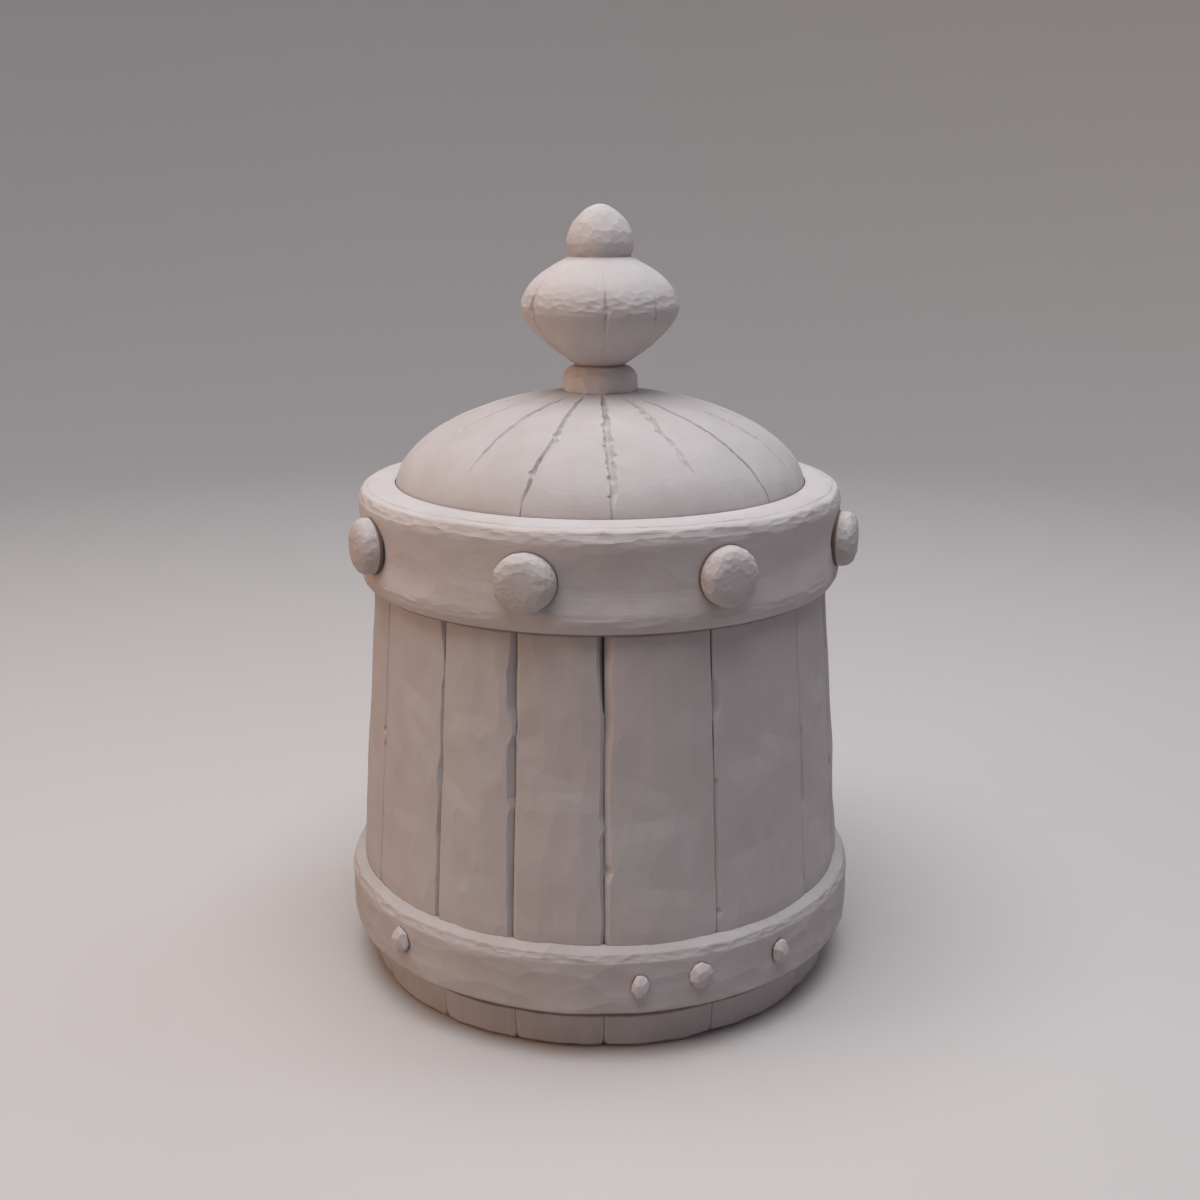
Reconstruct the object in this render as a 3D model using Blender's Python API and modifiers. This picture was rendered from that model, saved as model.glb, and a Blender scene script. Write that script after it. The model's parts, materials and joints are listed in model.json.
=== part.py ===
# Lidded canister: a coopered wooden body with a turned rim ring and a lower hoop,
# closed by a carved dome lid that lifts off by its turned finial.
# Metres, +Z up, origin on the floor under the centre of the foot, front towards -Y.
# An angle is measured about +Z from the front, positive towards +X.

import math

import bmesh
import bpy
from mathutils import Vector

# Clearance between pieces that touch on the real object
GAP = 0.0003

# Staves: outside radius at the foot, at the widest place and at the top end
FOOT_RADIUS = 0.0750
BELLY_RADIUS = 0.0776
BELLY_HEIGHT = 0.0380
NECK_RADIUS = 0.0703
STAVE_HEIGHT = 0.1340
STAVE_THICKNESS = 0.0090
SEAM_CHAMFER = 0.0011
FOOT_CHAMFER = 0.0014
# Widths of the staves round the body, in degrees before they are scaled to a full turn
STAVE_SHARES = (24, 19, 20, 25, 28, 22, 24, 20, 23, 21, 24, 22, 20, 25, 22, 21)
FIRST_SEAM_ANGLE = math.radians(-62.0)

# Floor board, let into a groove round the inside of the staves
FLOOR_HEIGHT = 0.0100
FLOOR_THICKNESS = 0.0080
FLOOR_BEVEL = 0.0010
CROZE_DEPTH = 0.0035
FLOOR_PLAY = 0.0008

# Lower hoop, a rounded band nailed to the staves
HOOP_BOTTOM = 0.0144
HOOP_WIDTH = 0.0204
HOOP_THICKNESS = 0.0034
HOOP_TOP_ROUND = 0.0028
HOOP_BOTTOM_ROUND = 0.0018

# Hoop nails: the stave that each one enters, and its place across that stave
NAIL_SPOTS = ((0, 0.64), (3, 0.28), (3, 0.79), (4, 0.52), (7, 0.40), (8, 0.85),
              (10, 0.50), (12, 0.50), (13, 0.35))
NAIL_HEAD_RADIUS = 0.0039
NAIL_HEAD_HEIGHT = 0.0028
NAIL_SHANK_RADIUS = 0.0012
NAIL_LENGTH = 0.0095
NAIL_POINT = 0.0018

# Rim ring, rebated over the top ends of the staves: its height to the lid's seat, and how far it hangs down
RIM_HEIGHT = 0.0288
RIM_OVERLAP = 0.0100
RIM_SKIRT = 0.0035
# Rounded crest that stands above the seat, and its place from the lid's edge, 0, to the outside, 1
RIM_CREST_RISE = 0.0021
RIM_CREST_PLACE = 0.46
RIM_TOP_ROUND = 0.0068
RIM_BOTTOM_ROUND = 0.0048
RIM_BOTTOM_INSET = 0.0030
RIM_MOUTH_ROUND = 0.0012

# Length of a drill that stays outside the surface it enters
DRILL_PROUD = 0.0040

# Domed studs pegged into the rim ring: their spacing in degrees, before it is scaled to a full turn
STUD_SHARES = (48.5, 43, 47.5, 44, 44, 45, 44, 44)
FIRST_STUD_ANGLE = math.radians(-64.0)
STUD_RISE = 0.0052
STUD_HEAD_RADIUS = 0.0084
STUD_HEAD_HEIGHT = 0.0052
STUD_SHANK_RADIUS = 0.0028
STUD_SHANK_LENGTH = 0.0085

# Lid: a hollow dome with a ring under it that drops into the mouth
DOME_RADIUS = 0.0634
DOME_RISE = 0.0288
DOME_WALL = 0.0060
DOME_EDGE_ROUND = 0.0024
DOME_EDGE_INSET = 0.0015
DOME_BEARING = 0.0043
CROWN_RADIUS = 0.0120
# Roundness of the dome and the ball, where 2 is an ellipse and 1 a cone
DOME_FULLNESS = 1.88
BALL_FULLNESS = 1.78
LOCATOR_DEPTH = 0.0100
LOCATOR_THICKNESS = 0.0050
LOCATOR_CHAMFER = 0.0012
LID_PLAY = 0.0010

# Grooves carved down the dome: their spacing in degrees, before it is scaled to a full turn
GROOVE_SHARES = (24, 21, 21, 23, 21, 20, 18, 23, 24, 23, 24, 23, 24, 23, 24, 23)
FIRST_GROOVE_ANGLE = math.radians(-64.0)
GROOVE_DEPTH = 0.0011
GROOVE_HALF_WIDTH = 0.0012
# Depth of a groove at the crown, as a share of its full depth, and the steps that it fades over at the edge
GROOVE_START = 0.35
GROOVE_FADE_STEPS = 2
# Most of the space between two grooves that one side of a groove may take, near the crown
GROOVE_LARGEST_SHARE = 0.4

# Finial: collar, lobed bulb and ball on one rod, drawn down by a nut under the dome
COLLAR_RADIUS = 0.0115
COLLAR_HEIGHT = 0.0074
COLLAR_TOP_ROUND = 0.0030
COLLAR_BOTTOM_ROUND = 0.0014
BULB_RADIUS = 0.0243
BULB_LOWER_HEIGHT = 0.0169
BULB_UPPER_HEIGHT = 0.0150
BULB_BOTTOM_RADIUS = 0.0083
BULB_TOP_RADIUS = 0.0095
# Roundness of the bulb above and below its widest line, where 1 is a cone
BULB_UPPER_FULLNESS = 2.1
BULB_LOWER_FULLNESS = 1.65
# Lobes of the bulb: their spacing in degrees, before it is scaled to a full turn
LOBE_SHARES = (65, 42, 60, 60, 60, 73)
LOBE_GROOVE_DEPTH = 0.0012
LOBE_GROOVE_SHARPNESS = 2.0
FIRST_LOBE_ANGLE = math.radians(-61.0)
# Ball: egg-shaped above its widest line, drawn in a little below it to a flat foot
BALL_RADIUS = 0.0103
BALL_RISE = 0.0113
BALL_DROP = 0.0036
BALL_FOOT_RADIUS = 0.0093
ROD_RADIUS = 0.0025
ROD_INTO_BALL = 0.0090
ROD_TAIL = 0.0020
ROD_BEVEL = 0.0005
WASHER_RADIUS = 0.0085
WASHER_THICKNESS = 0.0015
NUT_CORNER_RADIUS = 0.0060
NUT_HEIGHT = 0.0045

# Facets
RING_STEPS = 48
COLLAR_STEPS = 20
BALL_STEPS = 20
BALL_ARC_STEPS = 7
BALL_FOOT_STEPS = 2
RIM_SLOPE_STEPS = 2
STUD_STEPS = 12
NAIL_STEPS = 8
HOLE_STEPS = 10
ROD_STEPS = 16
STAVE_SPANS = 3
BELLY_STEPS = 4
DOME_STEPS = 8
CAVITY_STEPS = 5
BULB_STEPS = 6
LOBE_COLUMNS = 6
SHARP_ANGLE = math.radians(32.0)

# Domed heads: upright side as a share of the height, and roundness, where 1 is half an ellipse
HEAD_SIDE = 0.15
HEAD_FULLNESS = 0.75

# Most of a wall that a rounded edge may take
ROUND_LIMIT = 0.9

# Heights that follow from the sizes above
HOOP_TOP = HOOP_BOTTOM + HOOP_WIDTH
RIM_BOTTOM = STAVE_HEIGHT - RIM_OVERLAP
RIM_SEAT = RIM_BOTTOM + RIM_HEIGHT
LID_SEAT = RIM_SEAT + GAP

# Finishes: colour, roughness, metallic
FINISHES = {
    "stave": ((0.60, 0.56, 0.53), 0.85, 0.0),
    "floor": ((0.52, 0.45, 0.38), 0.90, 0.0),
    "rim": ((0.63, 0.59, 0.56), 0.82, 0.0),
    "hoop": ((0.61, 0.57, 0.54), 0.82, 0.0),
    "stud": ((0.62, 0.58, 0.55), 0.80, 0.0),
    "nail": ((0.58, 0.54, 0.51), 0.75, 0.0),
    "lid": ((0.64, 0.60, 0.57), 0.83, 0.0),
    "finial": ((0.63, 0.59, 0.56), 0.80, 0.0),
    "iron": ((0.14, 0.13, 0.12), 0.60, 1.0),
}


def stave_radius(height):
    """Outside radius of the staves: swelling from the foot to the belly, then tapering straight."""
    if height <= BELLY_HEIGHT:
        swell = math.sin(0.5 * math.pi * height / BELLY_HEIGHT)
        return FOOT_RADIUS + (BELLY_RADIUS - FOOT_RADIUS) * swell
    share = (height - BELLY_HEIGHT) / (STAVE_HEIGHT - BELLY_HEIGHT)
    return BELLY_RADIUS + (NECK_RADIUS - BELLY_RADIUS) * share


def bore_wall_radius(height):
    """Inside radius of the staves, shaved straight from the foot to the top end."""
    share = height / STAVE_HEIGHT
    return FOOT_RADIUS + (NECK_RADIUS - FOOT_RADIUS) * share - STAVE_THICKNESS


MOUTH_RADIUS = DOME_RADIUS - DOME_BEARING
RIM_RADIUS = stave_radius(RIM_BOTTOM) + GAP + RIM_SKIRT
HOOP_RADIUS = stave_radius(HOOP_TOP) + GAP + HOOP_THICKNESS
LOCATOR_RADIUS = MOUTH_RADIUS - LID_PLAY
CAVITY_RADIUS = LOCATOR_RADIUS - LOCATOR_THICKNESS
ROD_BORE = ROD_RADIUS + GAP


def polar(radius, angle, height):
    """Point at an angle from the front."""
    return Vector((radius * math.sin(angle), -radius * math.cos(angle), height))


def arc(centre, radius, start, end, steps, rise=None):
    """Points (radius, height) along a round arc, or an oval one with its own rise, from outwards upwards."""
    rise = radius if rise is None else rise
    points = []
    for step in range(steps + 1):
        angle = math.radians(start + (end - start) * step / steps)
        points.append((centre[0] + radius * math.cos(angle), centre[1] + rise * math.sin(angle)))
    return points


def oval_point(angle, radius, rise, fullness):
    """Point (radius, height) on a quarter oval at an angle from its edge, 0, to its crown."""
    power = 2.0 / fullness
    return radius * max(0.0, math.cos(angle)) ** power, rise * math.sin(angle) ** power


def parting_angles(first, shares):
    """Angles that part a full turn into unequal shares, the first repeated a turn later."""
    angles = [first]
    for share in shares:
        angles.append(angles[-1] + 2.0 * math.pi * share / sum(shares))
    return angles


def finish(name):
    """Material of a named finish, made once."""
    if name in bpy.data.materials:
        return bpy.data.materials[name]
    colour, roughness, metallic = FINISHES[name]
    material = bpy.data.materials.new(name)
    material.use_nodes = True
    shader = material.node_tree.nodes["Principled BSDF"]
    shader.inputs["Base Color"].default_value = (*colour, 1.0)
    shader.inputs["Roughness"].default_value = roughness
    shader.inputs["Metallic"].default_value = metallic
    material.diffuse_color = (*colour, 1.0)
    return material


def add_part(name, data, finish_name, group):
    """Object of the assembly, carrying its own copy of a finish and parented to its group."""
    part = bpy.data.objects.new(name, data)
    group.users_collection[0].objects.link(part)
    part.parent = group
    material = finish(finish_name).copy()
    material.name = name + "_finish"
    data.materials.append(material)
    return part


def turned(name, profile, steps, finish_name, group, ring=False):
    """Turned piece: a profile of (radius, height) points, outer side running down, spun about Z."""
    count = len(profile)
    edges = [(k, k + 1) for k in range(count - 1)]
    if ring:
        edges.append((count - 1, 0))
    mesh = bpy.data.meshes.new(name)
    mesh.from_pydata([(radius, 0.0, height) for radius, height in profile], edges, [])
    part = add_part(name, mesh, finish_name, group)
    screw = part.modifiers.new("turn", "SCREW")
    screw.axis = "Z"
    screw.angle = 2.0 * math.pi
    screw.steps = steps
    screw.render_steps = steps
    screw.use_merge_vertices = True
    screw.merge_threshold = 0.00001
    screw.use_smooth_shade = True
    return part


def loft(name, sections, closed, finish_name, group):
    """Closed solid through sections of equal point count, in a ring or with capped ends."""
    shape = bmesh.new()
    rows = [[shape.verts.new(point) for point in section] for section in sections]
    pairs = list(zip(rows, rows[1:]))
    if closed:
        pairs.append((rows[-1], rows[0]))
    for first, second in pairs:
        for k in range(len(first)):
            shape.faces.new((first[k - 1], first[k], second[k], second[k - 1]))
    if not closed:
        shape.faces.new(rows[0])
        shape.faces.new(rows[-1])
    bmesh.ops.recalc_face_normals(shape, faces=shape.faces)
    mesh = bpy.data.meshes.new(name)
    shape.to_mesh(mesh)
    shape.free()
    mesh.shade_smooth()
    mesh.set_sharp_from_angle(angle=SHARP_ANGLE)
    return add_part(name, mesh, finish_name, group)


def face_outwards(part, radius, angle, height):
    """Sets a piece turned about its own Z so that Z points straight out of the body."""
    part.location = polar(radius, angle, height)
    part.rotation_euler = (0.0, 0.5 * math.pi, angle - 0.5 * math.pi)


def drill(name, hole_radius, surface_radius, depth, angle, height, collection):
    """Cutter for a hole drilled straight in from an outer surface."""
    shape = bmesh.new()
    bmesh.ops.create_cone(shape, cap_ends=True, segments=HOLE_STEPS, radius1=hole_radius,
                          radius2=hole_radius, depth=depth + DRILL_PROUD)
    mesh = bpy.data.meshes.new(name)
    shape.to_mesh(mesh)
    shape.free()
    cutter = bpy.data.objects.new(name, mesh)
    collection.objects.link(cutter)
    face_outwards(cutter, surface_radius + 0.5 * (DRILL_PROUD - depth), angle, height)
    cutter.hide_render = True
    cutter.display_type = "WIRE"
    return cutter


def cut_with(part, name, cutter=None, collection=None):
    """Takes one cutter, or every cutter of a collection, out of a part."""
    cut = part.modifiers.new(name, "BOOLEAN")
    cut.operation = "DIFFERENCE"
    cut.solver = "EXACT"
    if collection is not None:
        cut.operand_type = "COLLECTION"
        cut.collection = collection
    else:
        cut.object = cutter


def stave_outline():
    """Radial section of a stave as (radius, height, is_outer) points, round from the top outer edge."""
    outline = [(stave_radius(STAVE_HEIGHT), STAVE_HEIGHT, True)]
    for step in range(BELLY_STEPS, 0, -1):
        height = FOOT_CHAMFER + (BELLY_HEIGHT - FOOT_CHAMFER) * step / BELLY_STEPS
        outline.append((stave_radius(height), height, True))
    outline.append((stave_radius(FOOT_CHAMFER), FOOT_CHAMFER, True))
    outline.append((FOOT_RADIUS - FOOT_CHAMFER, 0.0, True))
    groove_low = FLOOR_HEIGHT - GAP
    groove_high = FLOOR_HEIGHT + FLOOR_THICKNESS + GAP
    outline.append((bore_wall_radius(0.0), 0.0, False))
    outline.append((bore_wall_radius(groove_low), groove_low, False))
    outline.append((bore_wall_radius(groove_low) + CROZE_DEPTH, groove_low, False))
    outline.append((bore_wall_radius(groove_low) + CROZE_DEPTH, groove_high, False))
    outline.append((bore_wall_radius(groove_high), groove_high, False))
    outline.append((bore_wall_radius(STAVE_HEIGHT), STAVE_HEIGHT, False))
    return outline


def seam_section(outline, half, side, inset, easing):
    """Section of a stave beside a seam: its joint face, or the inner end of its eased edge."""
    section = []
    for radius, height, outer in outline:
        eased = radius - easing if outer else radius
        back_off = (0.5 * GAP + inset) / eased
        section.append(polar(eased, side * (half - math.asin(back_off)), height))
    return section


def stave(name, width, group):
    """One stave, about the front line: radial jointed sides and outer edges eased at the seams."""
    half = 0.5 * width
    outline = stave_outline()
    sections = [seam_section(outline, half, -1.0, 0.0, SEAM_CHAMFER),
                seam_section(outline, half, -1.0, SEAM_CHAMFER, 0.0)]
    for span in range(1, STAVE_SPANS):
        angle = -half + width * span / STAVE_SPANS
        sections.append([polar(radius, angle, height) for radius, height, _ in outline])
    sections += [seam_section(outline, half, 1.0, SEAM_CHAMFER, 0.0),
                 seam_section(outline, half, 1.0, 0.0, SEAM_CHAMFER)]
    return loft(name, sections, False, "stave", group)


def floor_board(group):
    """Round board with bevelled edges that stands in the groove of the staves."""
    radius = bore_wall_radius(FLOOR_HEIGHT) + CROZE_DEPTH - FLOOR_PLAY
    top = FLOOR_THICKNESS
    profile = [(0.0, top), (radius - FLOOR_BEVEL, top), (radius, top - FLOOR_BEVEL),
               (radius, FLOOR_BEVEL), (radius - FLOOR_BEVEL, 0.0), (0.0, 0.0)]
    board = turned("floor_board", profile, RING_STEPS, "floor", group)
    board.location.z = FLOOR_HEIGHT
    return board


def lower_hoop(group):
    """Rounded band that follows the swell of the staves on its inside."""
    top_round = min(HOOP_TOP_ROUND, ROUND_LIMIT * HOOP_THICKNESS)
    bottom_round = min(HOOP_BOTTOM_ROUND, ROUND_LIMIT * HOOP_THICKNESS)
    profile = arc((HOOP_RADIUS - top_round, HOOP_TOP - top_round), top_round, 90.0, 0.0, 4)
    profile += arc((HOOP_RADIUS - bottom_round, HOOP_BOTTOM + bottom_round), bottom_round, 0.0, -90.0, 3)
    for step in range(BELLY_STEPS):
        height = HOOP_BOTTOM + HOOP_WIDTH * step / (BELLY_STEPS - 1)
        profile.append((stave_radius(height) + GAP, height))
    return turned("lower_hoop", profile, RING_STEPS, "hoop", group, ring=True)


def rim_ring(group):
    """Thick turned ring: a seat for the lid inside a rounded crest, and a rebate over the stave ends."""
    skirt_inside = stave_radius(RIM_BOTTOM) + GAP
    rebate_top = STAVE_HEIGHT + GAP
    bottom_inset = min(RIM_BOTTOM_INSET, ROUND_LIMIT * RIM_SKIRT)
    mouth_round = RIM_MOUTH_ROUND
    seat_edge = DOME_RADIUS + GAP
    slope = RIM_CREST_PLACE * (RIM_RADIUS - seat_edge)
    crest = seat_edge + slope
    profile = []
    for step in range(RIM_SLOPE_STEPS):
        share = step / RIM_SLOPE_STEPS
        profile.append((seat_edge + slope * share, RIM_SEAT + RIM_CREST_RISE * (1.0 - (1.0 - share) ** 2)))
    profile += arc((crest, RIM_SEAT + RIM_CREST_RISE - RIM_TOP_ROUND), RIM_RADIUS - crest, 90.0, 0.0, 5,
                   rise=RIM_TOP_ROUND)
    profile += arc((RIM_RADIUS - bottom_inset, RIM_BOTTOM + RIM_BOTTOM_ROUND), bottom_inset, 0.0, -90.0, 3,
                   rise=RIM_BOTTOM_ROUND)
    profile.append((skirt_inside, RIM_BOTTOM))
    profile.append((skirt_inside, rebate_top))
    profile.append((MOUTH_RADIUS, rebate_top))
    profile += arc((MOUTH_RADIUS + mouth_round, RIM_SEAT - mouth_round), mouth_round, 180.0, 90.0, 2)
    return turned("rim_ring", profile, RING_STEPS, "rim", group, ring=True)


def domed_head(radius, rise, steps):
    """Profile of a domed head, fuller than half an ellipse, from its crown down to its edge."""
    points = []
    for step in range(steps + 1):
        turn = 0.5 * math.pi * step / steps
        across, up = math.sin(turn), max(0.0, math.cos(turn))
        points.append((radius * across ** HEAD_FULLNESS, rise * up ** HEAD_FULLNESS))
    return points[:-1] + [(radius, HEAD_SIDE * rise), (radius, 0.0)]


def rim_stud(name, group):
    """Low domed head on a round peg."""
    profile = domed_head(STUD_HEAD_RADIUS, STUD_HEAD_HEIGHT, 4)
    profile += [(STUD_SHANK_RADIUS, 0.0), (STUD_SHANK_RADIUS, -STUD_SHANK_LENGTH), (0.0, -STUD_SHANK_LENGTH)]
    return turned(name, profile, STUD_STEPS, "stud", group)


def hoop_nail(name, group):
    """Forged nail with a coarsely faceted head and a pointed shank."""
    shoulder = NAIL_POINT - NAIL_LENGTH
    profile = domed_head(NAIL_HEAD_RADIUS, NAIL_HEAD_HEIGHT, 2)
    profile += [(NAIL_SHANK_RADIUS, 0.0), (NAIL_SHANK_RADIUS, shoulder), (0.0, -NAIL_LENGTH)]
    return turned(name, profile, NAIL_STEPS, "nail", group)


def crown_height():
    """Height above the lid's seat of the flat crown that the finial stands on."""
    return DOME_RISE * (1.0 - (CROWN_RADIUS / DOME_RADIUS) ** DOME_FULLNESS) ** (1.0 / DOME_FULLNESS)


def washer_seat_height():
    """Height of the flat under the crown that the washer draws up to."""
    return (DOME_RISE - DOME_WALL) * math.sqrt(1.0 - ((WASHER_RADIUS + GAP) / CAVITY_RADIUS) ** 2)


def dome_outline():
    """Radial section of the dome as (radius, height, carve) points, with the groove's share of depth."""
    first = math.acos((CROWN_RADIUS / DOME_RADIUS) ** (0.5 * DOME_FULLNESS))
    outline = [(ROD_BORE, crown_height(), 0.0)]
    for step in range(DOME_STEPS):
        angle = first * (1.0 - step / DOME_STEPS)
        carve = min(1.0, GROOVE_START + step, (DOME_STEPS - 1 - step) / GROOVE_FADE_STEPS)
        outline.append((*oval_point(angle, DOME_RADIUS, DOME_RISE, DOME_FULLNESS), carve))
    edge_centre = (DOME_RADIUS - DOME_EDGE_INSET, DOME_EDGE_ROUND)
    for radius, height in arc(edge_centre, DOME_EDGE_INSET, 0.0, -90.0, 2, rise=DOME_EDGE_ROUND):
        outline.append((radius, height, 0.0))
    seat_radius = WASHER_RADIUS + GAP
    last = math.acos(seat_radius / CAVITY_RADIUS)
    for step in range(CAVITY_STEPS + 1):
        angle = last * step / CAVITY_STEPS
        height = (DOME_RISE - DOME_WALL) * math.sin(angle)
        outline.append((CAVITY_RADIUS * math.cos(angle), height, 0.0))
    outline.append((ROD_BORE, washer_seat_height(), 0.0))
    return outline


def lid_dome(group):
    """Hollow dome with carved grooves running down from the crown and dying out above its edge."""
    outline = dome_outline()
    grooves = parting_angles(FIRST_GROOVE_ANGLE, GROOVE_SHARES)
    sections = []
    for left, right in zip(grooves, grooves[1:]):
        for column in (0, 1, 2, 3):
            section = []
            for radius, height, carve in outline:
                side = min(GROOVE_HALF_WIDTH / radius, GROOVE_LARGEST_SHARE * (right - left))
                angle = (left, left + side, 0.5 * (left + right), right - side)[column]
                depth = GROOVE_DEPTH * carve if column == 0 else 0.0
                normal = Vector((radius / DOME_RADIUS ** 2, height / DOME_RISE ** 2)).normalized()
                section.append(polar(radius - depth * normal.x, angle, height - depth * normal.y))
            sections.append(section)
    return loft("lid_dome", sections, True, "lid", group)


def lid_locating_ring(group):
    """Ring under the dome that drops into the mouth and keeps the lid central."""
    chamfer = LOCATOR_CHAMFER
    profile = [(LOCATOR_RADIUS, -GAP), (LOCATOR_RADIUS, chamfer - LOCATOR_DEPTH),
               (LOCATOR_RADIUS - chamfer, -LOCATOR_DEPTH), (CAVITY_RADIUS, -LOCATOR_DEPTH),
               (CAVITY_RADIUS, -GAP)]
    return turned("lid_locating_ring", profile, RING_STEPS, "lid", group, ring=True)


def finial_collar(group, base):
    """Fat turned bead between the dome and the bulb, rounder above than below."""
    top_round, bottom_round = COLLAR_TOP_ROUND, COLLAR_BOTTOM_ROUND
    profile = arc((COLLAR_RADIUS - top_round, COLLAR_HEIGHT - top_round), top_round, 90.0, 0.0, 4)
    profile += arc((COLLAR_RADIUS - bottom_round, bottom_round), bottom_round, 0.0, -90.0, 2)
    profile += [(ROD_BORE, 0.0), (ROD_BORE, COLLAR_HEIGHT)]
    collar = turned("finial_collar", profile, COLLAR_STEPS, "finial", group, ring=True)
    collar.location.z = base
    return collar


def bulb_outline():
    """Radial section of the bulb: a full shoulder above its widest line and a longer taper below."""
    whole = BULB_LOWER_HEIGHT + BULB_UPPER_HEIGHT
    outline = [(ROD_BORE, whole)]
    for step in range(BULB_STEPS, 0, -1):
        share = step / BULB_STEPS
        taper = share ** BULB_UPPER_FULLNESS
        radius = BULB_RADIUS + (BULB_TOP_RADIUS - BULB_RADIUS) * taper
        outline.append((radius, BULB_LOWER_HEIGHT + BULB_UPPER_HEIGHT * share))
    for step in range(BULB_STEPS + 1):
        share = step / BULB_STEPS
        taper = share ** BULB_LOWER_FULLNESS
        radius = BULB_RADIUS + (BULB_BOTTOM_RADIUS - BULB_RADIUS) * taper
        outline.append((radius, BULB_LOWER_HEIGHT * (1.0 - share)))
    outline.append((ROD_BORE, 0.0))
    return outline


def finial_bulb(group, base):
    """Onion-shaped bulb parted into lobes by upright grooves that die out at its two ends."""
    outline = bulb_outline()
    middle = 0.5 * (BULB_LOWER_HEIGHT + BULB_UPPER_HEIGHT)
    grooves = parting_angles(FIRST_LOBE_ANGLE, LOBE_SHARES)
    sections = []
    for left, right in zip(grooves, grooves[1:]):
        for column in range(LOBE_COLUMNS):
            angle = left + (right - left) * column / LOBE_COLUMNS
            away = min(column, LOBE_COLUMNS - column)
            section = []
            for radius, height in outline:
                reach = max(0.0, 1.0 - ((height - middle) / middle) ** 2)
                depth = LOBE_GROOVE_DEPTH * reach * math.exp(-LOBE_GROOVE_SHARPNESS * away * away)
                section.append(polar(radius - depth, angle, height))
            sections.append(section)
    bulb = loft("finial_bulb", sections, True, "finial", group)
    bulb.location.z = base
    return bulb


def finial_ball(group, base):
    """Egg-shaped ball with a flat foot and a blind hole for the rod."""
    hole_top = ROD_INTO_BALL + GAP
    profile = [(0.0, BALL_DROP + BALL_RISE)]
    for step in range(1, BALL_ARC_STEPS + 1):
        angle = 0.5 * math.pi * (1.0 - step / BALL_ARC_STEPS)
        radius, height = oval_point(angle, BALL_RADIUS, BALL_RISE, BALL_FULLNESS)
        profile.append((radius, BALL_DROP + height))
    for step in range(1, BALL_FOOT_STEPS + 1):
        share = step / BALL_FOOT_STEPS
        radius = BALL_RADIUS + (BALL_FOOT_RADIUS - BALL_RADIUS) * share ** 2
        profile.append((radius, BALL_DROP * (1.0 - share)))
    profile += [(ROD_BORE, 0.0), (ROD_BORE, hole_top), (0.0, hole_top)]
    ball = turned("finial_ball", profile, BALL_STEPS, "finial", group)
    ball.location.z = base
    return ball


def finial_rod(group, bottom, top):
    """Iron rod through the whole finial, with bevelled ends."""
    profile = [(0.0, top), (ROD_RADIUS - ROD_BEVEL, top), (ROD_RADIUS, top - ROD_BEVEL),
               (ROD_RADIUS, bottom + ROD_BEVEL), (ROD_RADIUS - ROD_BEVEL, bottom), (0.0, bottom)]
    return turned("finial_rod", profile, ROD_STEPS, "iron", group)


def rod_washer(group, bottom):
    """Flat washer under the crown of the dome."""
    profile = [(WASHER_RADIUS, WASHER_THICKNESS), (WASHER_RADIUS, 0.0), (ROD_BORE, 0.0),
               (ROD_BORE, WASHER_THICKNESS)]
    washer = turned("rod_washer", profile, ROD_STEPS, "iron", group, ring=True)
    washer.location.z = bottom
    return washer


def rod_nut(group, bottom):
    """Six-sided nut: a flat outline with a round hole, given its thickness."""
    outline = bpy.data.curves.new("rod_nut_outline", "CURVE")
    outline.dimensions = "2D"
    outline.fill_mode = "BOTH"
    outline.extrude = 0.5 * NUT_HEIGHT
    for radius, corners in ((NUT_CORNER_RADIUS, 6), (ROD_BORE, ROD_STEPS)):
        line = outline.splines.new("POLY")
        line.points.add(corners - 1)
        line.use_cyclic_u = True
        for k, point in enumerate(line.points):
            angle = 2.0 * math.pi * k / corners
            point.co = (radius * math.cos(angle), radius * math.sin(angle), 0.0, 1.0)
    nut = add_part("rod_nut", outline, "iron", group)
    nut.location.z = bottom + 0.5 * NUT_HEIGHT
    return nut


def build_body(group, stud_holes, nail_holes):
    """The fixed part: staves, floor board, hoop with its nails, rim ring with its studs."""
    seams = parting_angles(FIRST_SEAM_ANGLE, STAVE_SHARES)
    staves = []
    for index, (left, right) in enumerate(zip(seams, seams[1:])):
        piece = stave(f"stave_{index + 1:02d}", right - left, group)
        piece.rotation_euler.z = 0.5 * (left + right)
        staves.append(piece)
    floor_board(group)

    hoop = lower_hoop(group)
    nail_height = 0.5 * (HOOP_BOTTOM + HOOP_TOP)
    for index, (stave_index, place) in enumerate(NAIL_SPOTS):
        name = f"hoop_nail_{index + 1:02d}"
        angle = seams[stave_index] + (seams[stave_index + 1] - seams[stave_index]) * place
        nail = hoop_nail(name, group)
        face_outwards(nail, HOOP_RADIUS + GAP, angle, nail_height)
        hole = drill(name + "_hole", NAIL_SHANK_RADIUS + GAP, HOOP_RADIUS, NAIL_LENGTH, angle, nail_height,
                     nail_holes)
        cut_with(staves[stave_index], name, cutter=hole)
    cut_with(hoop, "nail holes", collection=nail_holes)

    rim = rim_ring(group)
    stud_height = STAVE_HEIGHT + STUD_RISE
    for index, angle in enumerate(parting_angles(FIRST_STUD_ANGLE, STUD_SHARES)[:-1]):
        name = f"rim_stud_{index + 1:02d}"
        stud = rim_stud(name, group)
        face_outwards(stud, RIM_RADIUS + GAP, angle, stud_height)
        drill(name + "_hole", STUD_SHANK_RADIUS + GAP, RIM_RADIUS, STUD_SHANK_LENGTH, angle, stud_height,
              stud_holes)
    cut_with(rim, "stud holes", collection=stud_holes)


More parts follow.
